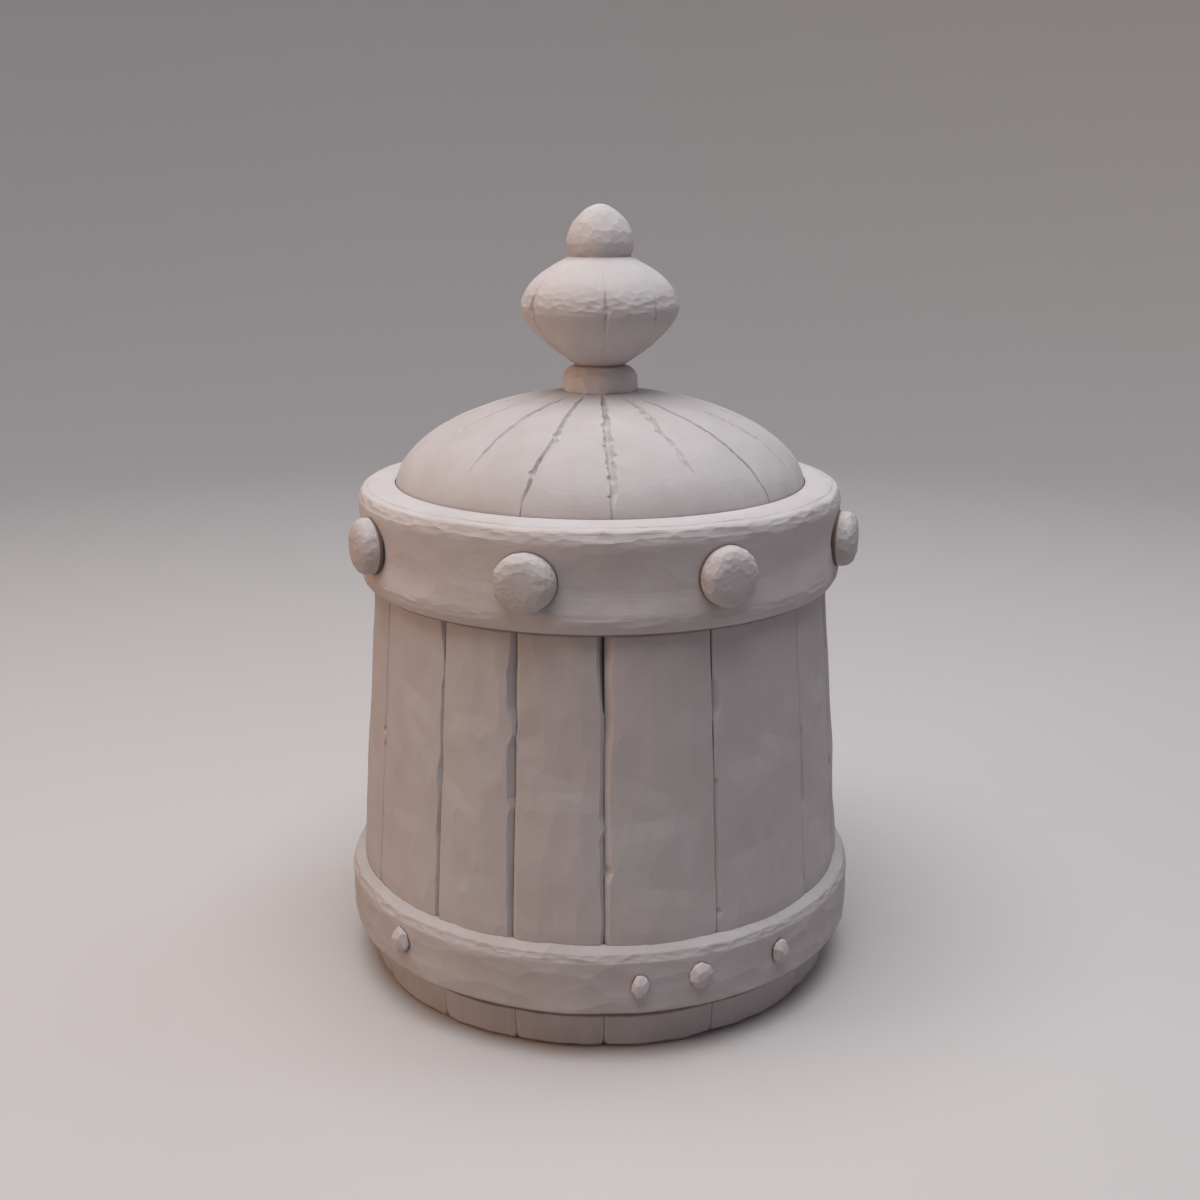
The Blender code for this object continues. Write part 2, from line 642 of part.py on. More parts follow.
def build_lid(group):
    """The lift-off part: dome, locating ring and finial, with heights above the lid's seat."""
    lid_dome(group)
    lid_locating_ring(group)
    collar_base = crown_height() + GAP
    finial_collar(group, collar_base)
    bulb_base = collar_base + COLLAR_HEIGHT + GAP
    finial_bulb(group, bulb_base)
    ball_base = bulb_base + BULB_LOWER_HEIGHT + BULB_UPPER_HEIGHT + GAP
    finial_ball(group, ball_base)
    washer_bottom = washer_seat_height() - GAP - WASHER_THICKNESS
    rod_washer(group, washer_bottom)
    nut_bottom = washer_bottom - GAP - NUT_HEIGHT
    rod_nut(group, nut_bottom)
    finial_rod(group, nut_bottom - ROD_TAIL, ball_base + ROD_INTO_BALL)


def new_collection(name, parent):
    """Collection linked under another."""
    collection = bpy.data.collections.new(name)
    parent.children.link(collection)
    return collection


def new_group(name, height, collection):
    """Empty on the canister's axis that a moving or fixed group of parts hangs from."""
    group = bpy.data.objects.new(name, None)
    group.location.z = height
    collection.objects.link(group)
    return group


def main():
    for leftover in list(bpy.data.objects):
        bpy.data.objects.remove(leftover, do_unlink=True)
    scene = bpy.context.scene.collection
    parts = new_collection("lidded_canister", scene)
    cutters = new_collection("cutters", scene)
    stud_holes = new_collection("stud_holes", cutters)
    nail_holes = new_collection("nail_holes", cutters)
    build_body(new_group("body_group", 0.0, parts), stud_holes, nail_holes)
    build_lid(new_group("lid_group", LID_SEAT, parts))
    bpy.context.view_layer.update()


main()
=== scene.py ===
# Looks of the lidded canister: hewn and limewashed staves, rim, hoop and studs, a carved lid, a lobed finial
import json
import math

import bmesh
import bpy
import numpy as np
from mathutils import Matrix, Vector, kdtree

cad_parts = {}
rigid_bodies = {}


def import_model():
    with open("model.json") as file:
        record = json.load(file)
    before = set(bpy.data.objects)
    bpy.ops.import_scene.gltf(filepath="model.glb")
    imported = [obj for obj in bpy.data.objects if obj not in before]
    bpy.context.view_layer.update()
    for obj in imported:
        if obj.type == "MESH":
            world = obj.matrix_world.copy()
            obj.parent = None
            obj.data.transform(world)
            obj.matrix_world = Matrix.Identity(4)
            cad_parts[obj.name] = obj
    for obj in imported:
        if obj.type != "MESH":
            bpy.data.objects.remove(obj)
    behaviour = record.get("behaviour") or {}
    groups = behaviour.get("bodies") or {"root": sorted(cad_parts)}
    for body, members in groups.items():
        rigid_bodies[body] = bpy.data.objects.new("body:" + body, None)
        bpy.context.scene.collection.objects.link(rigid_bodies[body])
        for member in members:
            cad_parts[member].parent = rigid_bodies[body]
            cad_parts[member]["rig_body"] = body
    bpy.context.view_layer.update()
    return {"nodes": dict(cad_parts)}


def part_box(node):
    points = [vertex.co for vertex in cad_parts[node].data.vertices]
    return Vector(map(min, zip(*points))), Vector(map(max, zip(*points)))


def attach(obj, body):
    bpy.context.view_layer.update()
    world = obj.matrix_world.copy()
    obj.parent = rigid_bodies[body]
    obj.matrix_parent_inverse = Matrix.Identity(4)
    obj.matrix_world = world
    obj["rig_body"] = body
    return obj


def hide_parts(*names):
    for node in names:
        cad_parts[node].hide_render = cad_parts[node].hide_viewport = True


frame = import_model()
mm = 0.001
fullTurn = 2.0 * math.pi
print("frame:", len(frame["nodes"]), "nodes")


# Points and fields

def polarPoints(radius, angle, height):  # angle from the front, growing towards +X
    radius, angle, height = np.broadcast_arrays(radius, angle, height)
    return np.stack([radius * np.sin(angle), -radius * np.cos(angle), height], axis=-1)


def angleOf(points):
    return np.arctan2(points[..., 0], -points[..., 1])


def nearestTurn(angle, about):  # same direction, within half a turn of another angle
    return about + (angle - about + math.pi) % fullTurn - math.pi


def outwards(angle):  # straight out from the axis
    return polarPoints(1.0, angle, 0.0)


def unit(values):  # kept between 0 and 1
    return np.clip(values, 0.0, 1.0)


def positive(values):
    return np.clip(values, 0.0, None)


def ringAngles(count):
    return np.linspace(0.0, fullTurn, count, endpoint=False)


def nodePoints(name):
    mesh = frame["nodes"][name].data
    flat = np.empty(len(mesh.vertices) * 3)
    mesh.vertices.foreach_get("co", flat)
    return flat.reshape(-1, 3)


def drift(points, size, seed):  # smooth random field, mostly within -1 and 1
    rng = np.random.default_rng(seed)
    waves = 16
    total = np.zeros(points.shape[:-1])
    for _ in range(waves):
        direction = rng.normal(size=3)
        direction /= np.linalg.norm(direction)
        pace = fullTurn / (size * rng.uniform(0.7, 1.6))
        total += np.sin(points @ direction * pace + rng.uniform(0.0, fullTurn))
    return total / math.sqrt(waves)


def uneven(points, depth, size, seed):  # hand-worked face, from 0 to about twice the depth
    return depth * (1.0 + drift(points, size, seed))


def lineDrift(along, size, seed):  # the same field read along one line
    line = np.zeros(np.shape(along) + (3,))
    line[..., 2] = along
    line[..., 0] = seed * 0.37
    return drift(line, size, seed)


def broken(along, step, seed):  # broken line of random values between -1 and 1
    rng = np.random.default_rng(seed)
    knots = np.cumsum(rng.uniform(0.5, 1.5, 160) * step) - 2.0 * step
    return np.interp(along, knots, rng.uniform(-1.0, 1.0, 160))


def gouged(points, depth, count, stretch, seed):  # shallow tool marks, with ridges left between them
    flat = points.reshape(-1, 3) / stretch
    sites = np.random.default_rng(seed).choice(len(flat), count, replace=False)
    tree = kdtree.KDTree(count)
    for k, site in enumerate(flat[sites]):
        tree.insert(site, k)
    tree.balance()
    far = np.array([tree.find(point)[2] for point in flat])
    return depth * unit(1.0 - (far / (2.2 * np.median(far))) ** 2).reshape(points.shape[:-1])


def arcPoints(centre, radius, start, end, step, rise=None):  # round arc, or an oval one with its own rise
    rise = rise or radius
    count = max(2, int(abs(math.radians(end - start)) * 0.5 * (radius + rise) / step) + 1)
    turns = np.radians(np.linspace(start, end, count))
    return [(centre[0] + radius * math.cos(t), centre[1] + rise * math.sin(t), step) for t in turns]


def stepFrom(outline, step):  # spacing of the straight run that follows the last point
    outline[-1] = (*outline[-1][:2], step)


def ovalPoint(turn, radius, rise, fullness):  # quarter oval from its edge, 0, to its crown
    power = 2.0 / fullness
    return radius * max(0.0, math.cos(turn)) ** power, rise * max(0.0, math.sin(turn)) ** power


def crownPoints(radius, rise, fullness, base):  # quarter oval from its crown down to its edge
    outline = []
    for k in range(25):
        reach, lift = ovalPoint(0.5 * math.pi * (1.0 - k / 24), radius, rise, fullness)
        outline.append((reach, base + lift, 0.0004))
    return outline


def walk(outline, closed):  # evenly spaced points along an outline of (radius, height, step)
    ends = outline[1:] + outline[:1] if closed else outline[1:]
    rows = []
    for (r0, z0, step), (r1, z1, _) in zip(outline, ends):
        count = max(1, int(round(math.hypot(r1 - r0, z1 - z0) / step)))
        for k in range(count):
            rows.append((r0 + (r1 - r0) * k / count, z0 + (z1 - z0) * k / count))
    if not closed:
        rows.append(outline[-1][:2])
    return np.array(rows)


def ledgeFall(s, share):  # a ledge slopes gently and rolls over in its last fifth
    roll = max(0.0, 5.0 * share - 4.0) ** 1.7
    return s["topSlope"] * share ** s["topCurve"] + (s["topDrop"] - s["topSlope"]) * roll


def spin(rows, angles):  # grid of points, one column for each angle
    return polarPoints(rows[None, :, 0], np.asarray(angles)[:, None], rows[None, :, 1])


def turned(outline, columns, closed=True):  # an outline turned about the axis: its grid, and that as a list
    grid = spin(walk(outline, closed), ringAngles(columns))
    return grid, grid.reshape(-1, 3)


def fromAxis(points):
    return np.hypot(points[:, 0], points[:, 1])


def pressIn(points, depth):  # towards the axis
    points -= outwards(angleOf(points)) * depth[:, None]


# Flat facets, cut at the point that stands furthest out in their direction

def facing(turn, tilt):
    return polarPoints(math.cos(tilt), turn, math.sin(tilt))


def facet(points, direction, depth):
    along = points @ direction
    proud = positive(along - along.max() + depth)
    points -= proud[:, None] * direction


def facetRings(points, seed, rings):  # each ring: count, range of tilts, range of depths, scatter
    rng = np.random.default_rng(seed)
    for count, tilts, depths, scatter in rings:
        for k in range(count):
            turn = fullTurn * (k + rng.uniform(-scatter, scatter)) / count
            facet(points, facing(turn, math.radians(rng.uniform(*tilts))), rng.uniform(*depths))


# Meshes

def gridQuads(first, second, wrapFirst, wrapSecond):
    index = np.arange(first * second).reshape(first, second)
    if wrapFirst:
        index = np.vstack([index, index[:1]])
    if wrapSecond:
        index = np.hstack([index, index[:, :1]])
    corners = (index[:-1, :-1], index[1:, :-1], index[1:, 1:], index[:-1, 1:])
    return np.stack(corners, axis=-1).reshape(-1, 4)


def linked(name, data):
    item = bpy.data.objects.new(name, data)
    bpy.context.scene.collection.objects.link(item)
    return item


def meshPiece(name, points, faces, weld=False):  # weld where points meet on the axis
    mesh = bpy.data.meshes.new(name)
    mesh.from_pydata(points.reshape(-1, 3).tolist(), [], faces.tolist())
    shape = bmesh.new()
    shape.from_mesh(mesh)
    if weld:
        bmesh.ops.remove_doubles(shape, verts=shape.verts, dist=1e-6)
    bmesh.ops.recalc_face_normals(shape, faces=shape.faces)
    shape.to_mesh(mesh)
    shape.free()
    return linked(name, mesh)


def ringPiece(name, grid, closed=True):  # an open outline ends on the axis
    return meshPiece(name, grid, gridQuads(grid.shape[0], grid.shape[1], True, closed), not closed)


def thin(piece, triangles):  # fewer faces: wide ones on flats, small ones along worked edges
    full = sum(len(face.vertices) - 2 for face in piece.data.polygons)
    cut = piece.modifiers.new("thin", "DECIMATE")
    cut.ratio = min(1.0, triangles / full)
    bpy.context.view_layer.update()
    seen = piece.evaluated_get(bpy.context.evaluated_depsgraph_get())
    mesh = bpy.data.meshes.new_from_object(seen)
    dense = piece.data
    piece.modifiers.clear()
    piece.data = mesh
    bpy.data.meshes.remove(dense)


def dress(piece, node, material, triangles=None, sharp=None):  # flat facets, unless an angle is given
    if triangles:
        thin(piece, triangles)
    piece.data.name = piece.name
    if sharp:
        piece.data.shade_smooth()
        piece.data.set_sharp_from_angle(angle=math.radians(sharp))
    else:
        piece.data.shade_flat()
    piece.data.materials.clear()
    piece.data.materials.append(material)
    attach(piece, frame["nodes"][node]["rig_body"])
    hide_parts(node)


# Shared finishes as node groups

def newGroup(name, inputs, outputs):  # each group is given the place on the piece as its vector
    group = bpy.data.node_groups.new(name, "ShaderNodeTree")
    newSocket = group.interface.new_socket
    newSocket("Vector", in_out="INPUT", socket_type="NodeSocketVector")
    for label, value in inputs.items():
        kind = "NodeSocketVector" if isinstance(value, tuple) else "NodeSocketFloat"
        newSocket(label, in_out="INPUT", socket_type=kind).default_value = value
    for label in outputs:
        newSocket(label, in_out="OUTPUT", socket_type="NodeSocketFloat")
    return group, group.nodes.new("NodeGroupInput").outputs, group.nodes.new("NodeGroupOutput").inputs


def addNode(tree, kind, values=None, links=None, **settings):
    node = tree.nodes.new("ShaderNode" + kind)
    for key, value in settings.items():
        setattr(node, key, value)
    for key, value in (values or {}).items():
        node.inputs[key].default_value = value
    for key, source in (links or {}).items():
        tree.links.new(source, node.inputs[key])
    return node


def feed(tree, socket, value):  # a number, a colour or what another node puts out
    if isinstance(value, (int, float)):
        socket.default_value = value
    elif isinstance(value, tuple):
        socket.default_value = (*value, 1.0)
    else:
        tree.links.new(value, socket)


def mathNode(tree, operation, first, second):
    node = addNode(tree, "Math", operation=operation)
    feed(tree, node.inputs[0], first)
    feed(tree, node.inputs[1], second)
    return node.outputs[0]


def times(tree, first, second):
    return mathNode(tree, "MULTIPLY", first, second)


def vectorNode(tree, operation, first, second=None):
    links = {0: first} if second is None else {0: first, 1: second}
    return addNode(tree, "VectorMath", links=links, operation=operation).outputs


def rangeNode(tree, value, low, high, start=0.0, end=1.0):
    values = {"From Min": low, "From Max": high, "To Min": start, "To Max": end}
    node = addNode(tree, "MapRange", values, {"Value": value}, interpolation_type="SMOOTHSTEP")
    return node.outputs["Result"]


def mixColour(tree, share, first, second):
    node = addNode(tree, "Mix", data_type="RGBA")
    for socket, value in ((0, share), (6, first), (7, second)):  # share and the two colours
        feed(tree, node.inputs[socket], value)
    return node.outputs[2]


def tinted(colour, by):
    shares = by if isinstance(by, tuple) else (by, by, by)
    return tuple(c * k for c, k in zip(colour, shares))


def newMaterial(name):  # with its tree, its shader and the place on the piece
    material = bpy.data.materials.new(name)
    material.use_nodes = True
    tree = material.node_tree
    place = addNode(tree, "TexCoord").outputs["Object"]
    return material, tree, tree.nodes["Principled BSDF"], place


def noise(tree, vector, values):
    return addNode(tree, "TexNoise", values, {"Vector": vector}).outputs["Fac"]


def groupNode(tree, group, place, values):
    return addNode(tree, "Group", values, {"Vector": place}, node_tree=group).outputs


def occlusion(tree, distance):
    links = {"Distance": distance}
    return addNode(tree, "AmbientOcclusion", links=links, samples=8, only_local=False).outputs["AO"]


upright, level, evenly = (1.0, 1.0, 0.06), (1.0, 1.0, 8.0), (1.0, 1.0, 1.0)  # ways the coat is drawn out


def mottleGroup():  # cloudy uneven coat: broad clouds, hand-sized patches and a fine speckle
    group, given, out = newGroup("washMottle", {"Scale": 1.0}, ("Clouds", "Speckle"))
    layers = []
    for scale, detail in ((26.0, 4.0), (95.0, 5.0), (900.0, 3.0)):
        size = times(group, given["Scale"], scale)
        layers.append(addNode(group, "TexNoise", {"Detail": detail, "Roughness": 0.62},
                              {"Vector": given["Vector"], "Scale": size}).outputs["Fac"])
    clouds = mathNode(group, "ADD", times(group, layers[0], 0.55), times(group, layers[1], 0.45))
    group.links.new(rangeNode(group, clouds, 0.34, 0.68), out["Clouds"])
    group.links.new(rangeNode(group, layers[2], 0.52, 0.74), out["Speckle"])
    return group


def brushGroup():  # drag marks of a stiff brush, drawn out along one axis of the vector
    group, given, out = newGroup("washBrush", {"Stretch": upright}, ("Drag", "Fibre"))
    drawn = vectorNode(group, "MULTIPLY", given["Vector"], given["Stretch"])["Vector"]
    drag = noise(group, drawn, {"Scale": 420.0, "Detail": 4.0, "Roughness": 0.6})
    fibre = noise(group, drawn, {"Scale": 1500.0, "Detail": 2.0, "Distortion": 0.4})
    group.links.new(drag, out["Drag"])
    group.links.new(rangeNode(group, fibre, 0.35, 0.7), out["Fibre"])
    return group


def edgeAndShadeGroup():  # edges painted pale, partly rubbed wear and partly painted highlight; painted shade in hollows and in tight cracks
    group, given, out = newGroup("edgeHighlightAndShade", {"Hollow Size": 0.006}, ("EdgeWearAndHighlight", "Hollow", "Crack"))
    soft = addNode(group, "Bevel", {"Radius": 0.0007}, samples=4).outputs["Normal"]
    true = addNode(group, "NewGeometry").outputs["Normal"]
    bent = mathNode(group, "SUBTRACT", 1.0, vectorNode(group, "DOT_PRODUCT", soft, true)["Value"])
    hollow = occlusion(group, given["Hollow Size"])
    tight = occlusion(group, times(group, given["Hollow Size"], 0.35))
    patch = noise(group, given["Vector"], {"Scale": 240.0, "Detail": 3.0})
    # edges painted paler: partly rubbed wear, partly painted highlight, kept off the shaded hollows
    edge = times(group, rangeNode(group, bent, 0.006, 0.06), rangeNode(group, patch, 0.36, 0.62))
    edge = times(group, edge, rangeNode(group, hollow, 0.55, 0.9))
    group.links.new(edge, out["EdgeWearAndHighlight"])
    # painted shade: darkening in hollows and tight cracks, found by ambient occlusion
    for label, shade, low, high in (("Hollow", hollow, 0.25, 0.95), ("Crack", tight, 0.42, 0.72)):
        shaded = mathNode(group, "SUBTRACT", 1.0, rangeNode(group, shade, low, high))
        group.links.new(shaded, out[label])
    return group


# tints of the painted shade: in hollows, in cracks, under overhangs and round heads
coolHollowShade = (0.55, 0.54, 0.57)
brownShade = (0.27, 0.16, 0.11)
seamShade = (0.36, 0.32, 0.35)
plainWash = {
    "stretch": evenly, "scale": 1.0, "streaks": 0.05, "edge": 0.7,
    "hollow": 0.0030, "hollowShade": 0.25, "crackShade": 0.6, "crackShadeTint": brownShade,
    "footShadeShare": 1.0, "footShadeHeights": (0.0095, 0.0105),  # share of the painted shade in hollows and cracks kept low on the foot, under the hoop
    "shadowLines": (), "outside": (0.0665, 0.0685),  # painted shadow lines by height, on the outside only
    "ridges": 0.5, "bump": 0.16,
}
mottle = mottleGroup()
brush = brushGroup()
edgeAndShadeNodes = edgeAndShadeGroup()


def washedWood(name, colour, changes):  # limewash brushed over hewn wood, with painted shade in hollows, cracks and under overhangs, and edges painted pale
    look = {**plainWash, **changes}
    material, tree, shader, place = newMaterial(name)
    clouds = groupNode(tree, mottle, place, {"Scale": look["scale"]})
    drag = groupNode(tree, brush, place, {"Stretch": look["stretch"]})
    edgeAndShadeMasks = groupNode(tree, edgeAndShadeNodes, place, {"Hollow Size": look["hollow"]})

    thinCoat = tinted(colour, (0.90, 0.875, 0.85))
    tone = mixColour(tree, clouds["Clouds"], thinCoat, colour)
    streak = times(tree, drag["Fibre"], look["streaks"])
    tone = mixColour(tree, streak, tone, tinted(colour, (0.82, 0.78, 0.74)))
    speck = times(tree, clouds["Speckle"], 0.10)
    tone = mixColour(tree, speck, tone, tinted(colour, 0.72))
    # edges painted paler: rubbed wear and painted highlight
    pale = times(tree, edgeAndShadeMasks["EdgeWearAndHighlight"], look["edge"])
    tone = mixColour(tree, pale, tone, tuple(min(0.80, c * 1.16) for c in colour))
    height = addNode(tree, "SeparateXYZ", links={"Vector": place}).outputs["Z"]
    # share of the painted shade kept low on the foot
    above = rangeNode(tree, height, *look["footShadeHeights"], look["footShadeShare"], 1.0)
    # painted shade in hollows and tight cracks, found by ambient occlusion
    for label, amount, shadeTint in (("Hollow", "hollowShade", coolHollowShade), ("Crack", "crackShade", look["crackShadeTint"])):
        shadeShare = times(tree, edgeAndShadeMasks[label], look[amount])
        tone = mixColour(tree, times(tree, shadeShare, above), tone, tinted(colour, shadeTint))
    # brown painted shadow, for the lines under overhangs and round the heads
    shadowBrown = tinted(colour, brownShade)
    flat = addNode(tree, "VectorMath", {1: (1.0, 1.0, 0.0)}, {0: place}, operation="MULTIPLY")
    far = vectorNode(tree, "LENGTH", flat.outputs["Vector"])["Value"]
    for low, lowFull, highFull, high in look["shadowLines"]:  # painted shadow under an overhang, by height
        rising = rangeNode(tree, height, low, lowFull)
        line = times(tree, rising, rangeNode(tree, height, highFull, high, 0.8, 0.0))
        tone = mixColour(tree, times(tree, line, rangeNode(tree, far, *look["outside"])), tone, shadowBrown)
    if "seat" in look:  # painted contact shadow round a head, by distance from the axis
        tone = mixColour(tree, rangeNode(tree, far, *look["seat"], 0.9, 0.0), tone, shadowBrown)
    tree.links.new(tone, shader.inputs["Base Color"])

    rough = mathNode(tree, "ADD", 0.74, times(tree, clouds["Clouds"], 0.14))
    rough = mathNode(tree, "SUBTRACT", rough, times(tree, edgeAndShadeMasks["EdgeWearAndHighlight"], 0.10))
    tree.links.new(rough, shader.inputs["Roughness"])
    shader.inputs["Specular IOR Level"].default_value = 0.28

    relief = mathNode(tree, "ADD", times(tree, drag["Drag"], look["ridges"]),
                      times(tree, clouds["Speckle"], 0.15))
    bump = addNode(tree, "Bump", {"Strength": look["bump"], "Distance": 0.0004}, {"Height": relief})
    tree.links.new(bump.outputs["Normal"], shader.inputs["Normal"])
    return material


def bareIron(name):  # dark forged iron with a brown bloom
    material, tree, shader, place = newMaterial(name)
    clouds = groupNode(tree, mottle, place, {"Scale": 3.0})
    edgeAndShadeMasks = groupNode(tree, edgeAndShadeNodes, place, {"Hollow Size": 0.002})
    tone = mixColour(tree, clouds["Clouds"], (0.055, 0.052, 0.050), (0.13, 0.115, 0.10))
    rust = times(tree, clouds["Speckle"], 0.7)
    tone = mixColour(tree, rust, tone, (0.16, 0.075, 0.035))
    # paler edges: rubbed wear and painted highlight
    tone = mixColour(tree, edgeAndShadeMasks["EdgeWearAndHighlight"], tone, (0.34, 0.32, 0.30))
    tree.links.new(tone, shader.inputs["Base Color"])
    bare = mathNode(tree, "SUBTRACT", 0.95, times(tree, rust, 0.6))
    tree.links.new(bare, shader.inputs["Metallic"])
    rough = rangeNode(tree, clouds["Clouds"], 0.0, 1.0, 0.42, 0.68)
    tree.links.new(rough, shader.inputs["Roughness"])
    bump = addNode(tree, "Bump", {"Strength": 0.3, "Distance": 0.0002},
                   {"Height": clouds["Clouds"]})
    tree.links.new(bump.outputs["Normal"], shader.inputs["Normal"])
    return material


limeColour = (0.605, 0.570, 0.560)
# shadow lines paint shade on the staves under the hoop and the rim, and along the rim's and hoop's own bottom
# edges
staveFinish = washedWood("limewashStave", limeColour, {
    "stretch": upright, "streaks": 0.08, "hollow": 0.0020, "hollowShade": 0.22, "crackShade": 0.45, "crackShadeTint": seamShade,
    "footShadeShare": 0.25, "shadowLines": ((0.0104, 0.0113, 0.0160, 0.0165), (0.1230, 0.1240, 0.1300, 0.1305))})
# the rim's wash is the same limewash painted 8% lighter, as painted light
rimFinish = washedWood("limewashRim", tinted(limeColour, 1.08), {
    "stretch": level, "shadowLines": ((0.0, 0.001, 0.1244, 0.1250),)})
hoopFinish = washedWood("limewashHoop", limeColour, {
    "stretch": level, "shadowLines": ((0.0, 0.001, 0.01475, 0.0153),)})
# seat: painted contact shadow round the stud heads, and round the nail heads below
studFinish = washedWood("limewashStud", limeColour, {
    "scale": 1.6, "streaks": 0.04, "hollowShade": 0.20, "seat": (0.0745, 0.0752)})
lidFinish = washedWood("limewashLid", limeColour, {
    "hollow": 0.0022, "hollowShade": 0.26, "crackShade": 0.35, "crackShadeTint": seamShade})
finialFinish = washedWood("limewashFinial", tinted(limeColour, 1.07), {
    "scale": 1.4, "hollowShade": 0.22, "crackShadeTint": seamShade})
# the collar's wash is painted much lighter than the limewash, as painted light against the bulb's shade
collarLitFinish = washedWood("limewashCollarLit", (0.815, 0.785, 0.790), {
    "scale": 1.4, "hollow": 0.0020, "hollowShade": 0.15, "crackShadeTint": seamShade})
nailFinish = washedWood("limewashNail", tinted(limeColour, 1.08), {
    "scale": 2.5, "hollow": 0.0024, "hollowShade": 0.2, "seat": (0.0811, 0.0815)})
floorFinish = washedWood("thinWashFloor", (0.50, 0.43, 0.35), {
    "stretch": (1.0, 0.05, 1.0), "streaks": 0.5, "hollow": 0.006, "hollowShade": 0.30})
ironFinish = bareIron("forgedIron")
print("finishes ready")


# Staves

staveShape = {
    "foot": 0.0750, "belly": 0.0776, "neck": 0.0703,  # outside radii
    "bellyHeight": 0.0380, "top": 0.1340, "wall": 0.0090,
    "groove": (0.0097, 0.0183, 0.0035),  # floor groove: bottom, top, depth
    "gap": 0.00001, "closed": 0.00014,  # half the open joint; the solids' gap, closed on each side
    "base": 0.00002, "footEase": 0.0016, "footChip": 0.0045, "boreWave": 0.00012,
    "hoopBottom": 0.0150, "footEdge": 0.0003, "edgeSlope": 0.92,
    "roll": 0.00050, "rollReach": 0.0050,  # faces roll off a little towards the seams
    "fine": 0.00036, "fineReach": 0.0040, "coarse": 0.0012, "row": 0.0008,
    "markBelow": 0.0055, "chisel": 1.25,  # run-out of a chisel mark under its step, share of its depth
    "uneven": (0.00012, 0.022), "proud": 0.00025,  # some staves stand a hair proud
    "marks": (0.00026, 90, (1.0, 1.0, 2.6)), "triangles": 1600,
}
# Eased and chipped edges seen from the front, by stave and side: height and width, from the rim down (mm)
seenEdges = {
    (16, 1): ((124, 0.8), (84.5, 0.9), (83, 2.0), (81.5, 0.9), (79.5, 1.0), (78, 1.8), (76, 0.9),
              (36, 0.8)),
    (1, -1): ((124, 0.7), (36, 0.7)),
    (1, 1): ((124, 1.9), (118, 1.2), (115, 0.5), (107, 0.5), (104, 1.2), (84, 1.2), (80, 1.8), (36, 1.6)),
    (2, -1): ((124, 0.4), (36, 0.4)),
    (2, 1): ((124, 1.5), (117, 2.0), (112, 2.6), (102, 2.5), (97, 0.9), (94.5, 0.7), (91, 2.0), (86, 2.5),
             (76, 2.3), (73, 1.2), (70, 1.8), (50, 1.9), (36, 1.6)),
    (3, -1): ((124, 1.0), (97, 1.0), (95, 0.3), (93, 0.3), (90, 1.0), (36, 0.9)),
    (3, 1): ((124, 2.5), (116, 2.4), (103, 1.4), (72, 1.5), (68, 0.8), (65, 1.5), (36, 1.3)),
    (4, -1): ((124, 2.3), (100, 2.0), (80, 1.6), (58, 1.6), (56, 2.3), (53, 1.3), (36, 1.2)),
    (4, 1): ((124, 0.6), (36, 0.5)),
    (5, -1): ((124, 0.6), (110, 0.7), (107, 2.1), (100, 1.9), (97, 0.6), (81, 0.6), (79.5, 1.8), (77, 1.2),
              (42, 1.0), (40.5, 1.8), (39, 0.8), (36, 0.8)),
    (5, 1): ((124, 0.5), (36, 0.5)),
    (6, -1): ((124, 0.5), (88, 0.5), (85, 1.6), (64, 1.6), (61, 0.5), (36, 0.5)),
}
# Joints that stand open below the rim: stave and side, lower end, width at the rim and depth (mm)
seenSplits = {(3, 1): (101.0, 1.9, 2.0), (1, 1): (112.0, 0.8, 1.2), (4, 1): (104.0, 0.7, 1.0),
              (11, -1): (96.0, 1.2, 1.5)}
rimLine = 124.0  # where the staves come out from under the rim (mm)
# Broad chisel marks: stave, place across, height of the step, reach above it, depth, half width (mm), slant
seenMarks = (
    (1, 0.68, 88.5, 22, 0.42, 10, -0.85), (1, 0.40, 62.0, 18, 0.30, 12, 0.1),
    (2, 0.25, 76.0, 20, 0.40, 9, -0.62), (2, 0.60, 52.0, 16, 0.28, 10, 0.2),
    (3, 0.50, 79.0, 24, 0.46, 16, 0.0), (3, 0.15, 94.0, 9, 0.40, 5, 0.2),
    (4, 0.45, 71.0, 24, 0.30, 16, 0.12), (4, 0.55, 50.0, 14, 0.28, 14, -0.15),
    (5, 0.50, 84.0, 26, 0.30, 17, 0.0), (5, 0.40, 58.0, 16, 0.24, 14, 0.2),
)


def staveRadius(height):
    s = staveShape
    swell = np.sin(0.5 * math.pi * unit(height / s["bellyHeight"]))
    share = unit((height - s["bellyHeight"]) / (s["top"] - s["bellyHeight"]))
    return s["foot"] + (s["belly"] - s["foot"]) * swell + (s["neck"] - s["belly"]) * share


def boreRadius(height):
    s = staveShape
    return s["foot"] + (s["neck"] - s["foot"]) * height / s["top"] - s["wall"]


def edgeWidth(number, side, height):  # width of the eased edge along a seam, with its chips
    s = staveShape
    seed = 100 * number + side
    knots = seenEdges.get((number, side))
    if not knots:
        rng = np.random.default_rng(seed)
        places = np.linspace(124, 36, 14) + rng.normal(0, 1.5, 14)
        knots = [(z, rng.choice((0.5, 0.7, 1.2, 1.9))) for z in places]
    levels = [z * mm for z, _ in knots[::-1]]
    width = np.interp(height, levels, [wide * mm for _, wide in knots[::-1]])
    width = np.where(height < s["hoopBottom"], s["footEdge"], width)
    width = np.maximum(width, 0.3 * (s["footChip"] - height))
    return width * (1.0 + 0.12 * lineDrift(height, 0.016, seed) + 0.12 * broken(height, 0.0040, seed + 7))


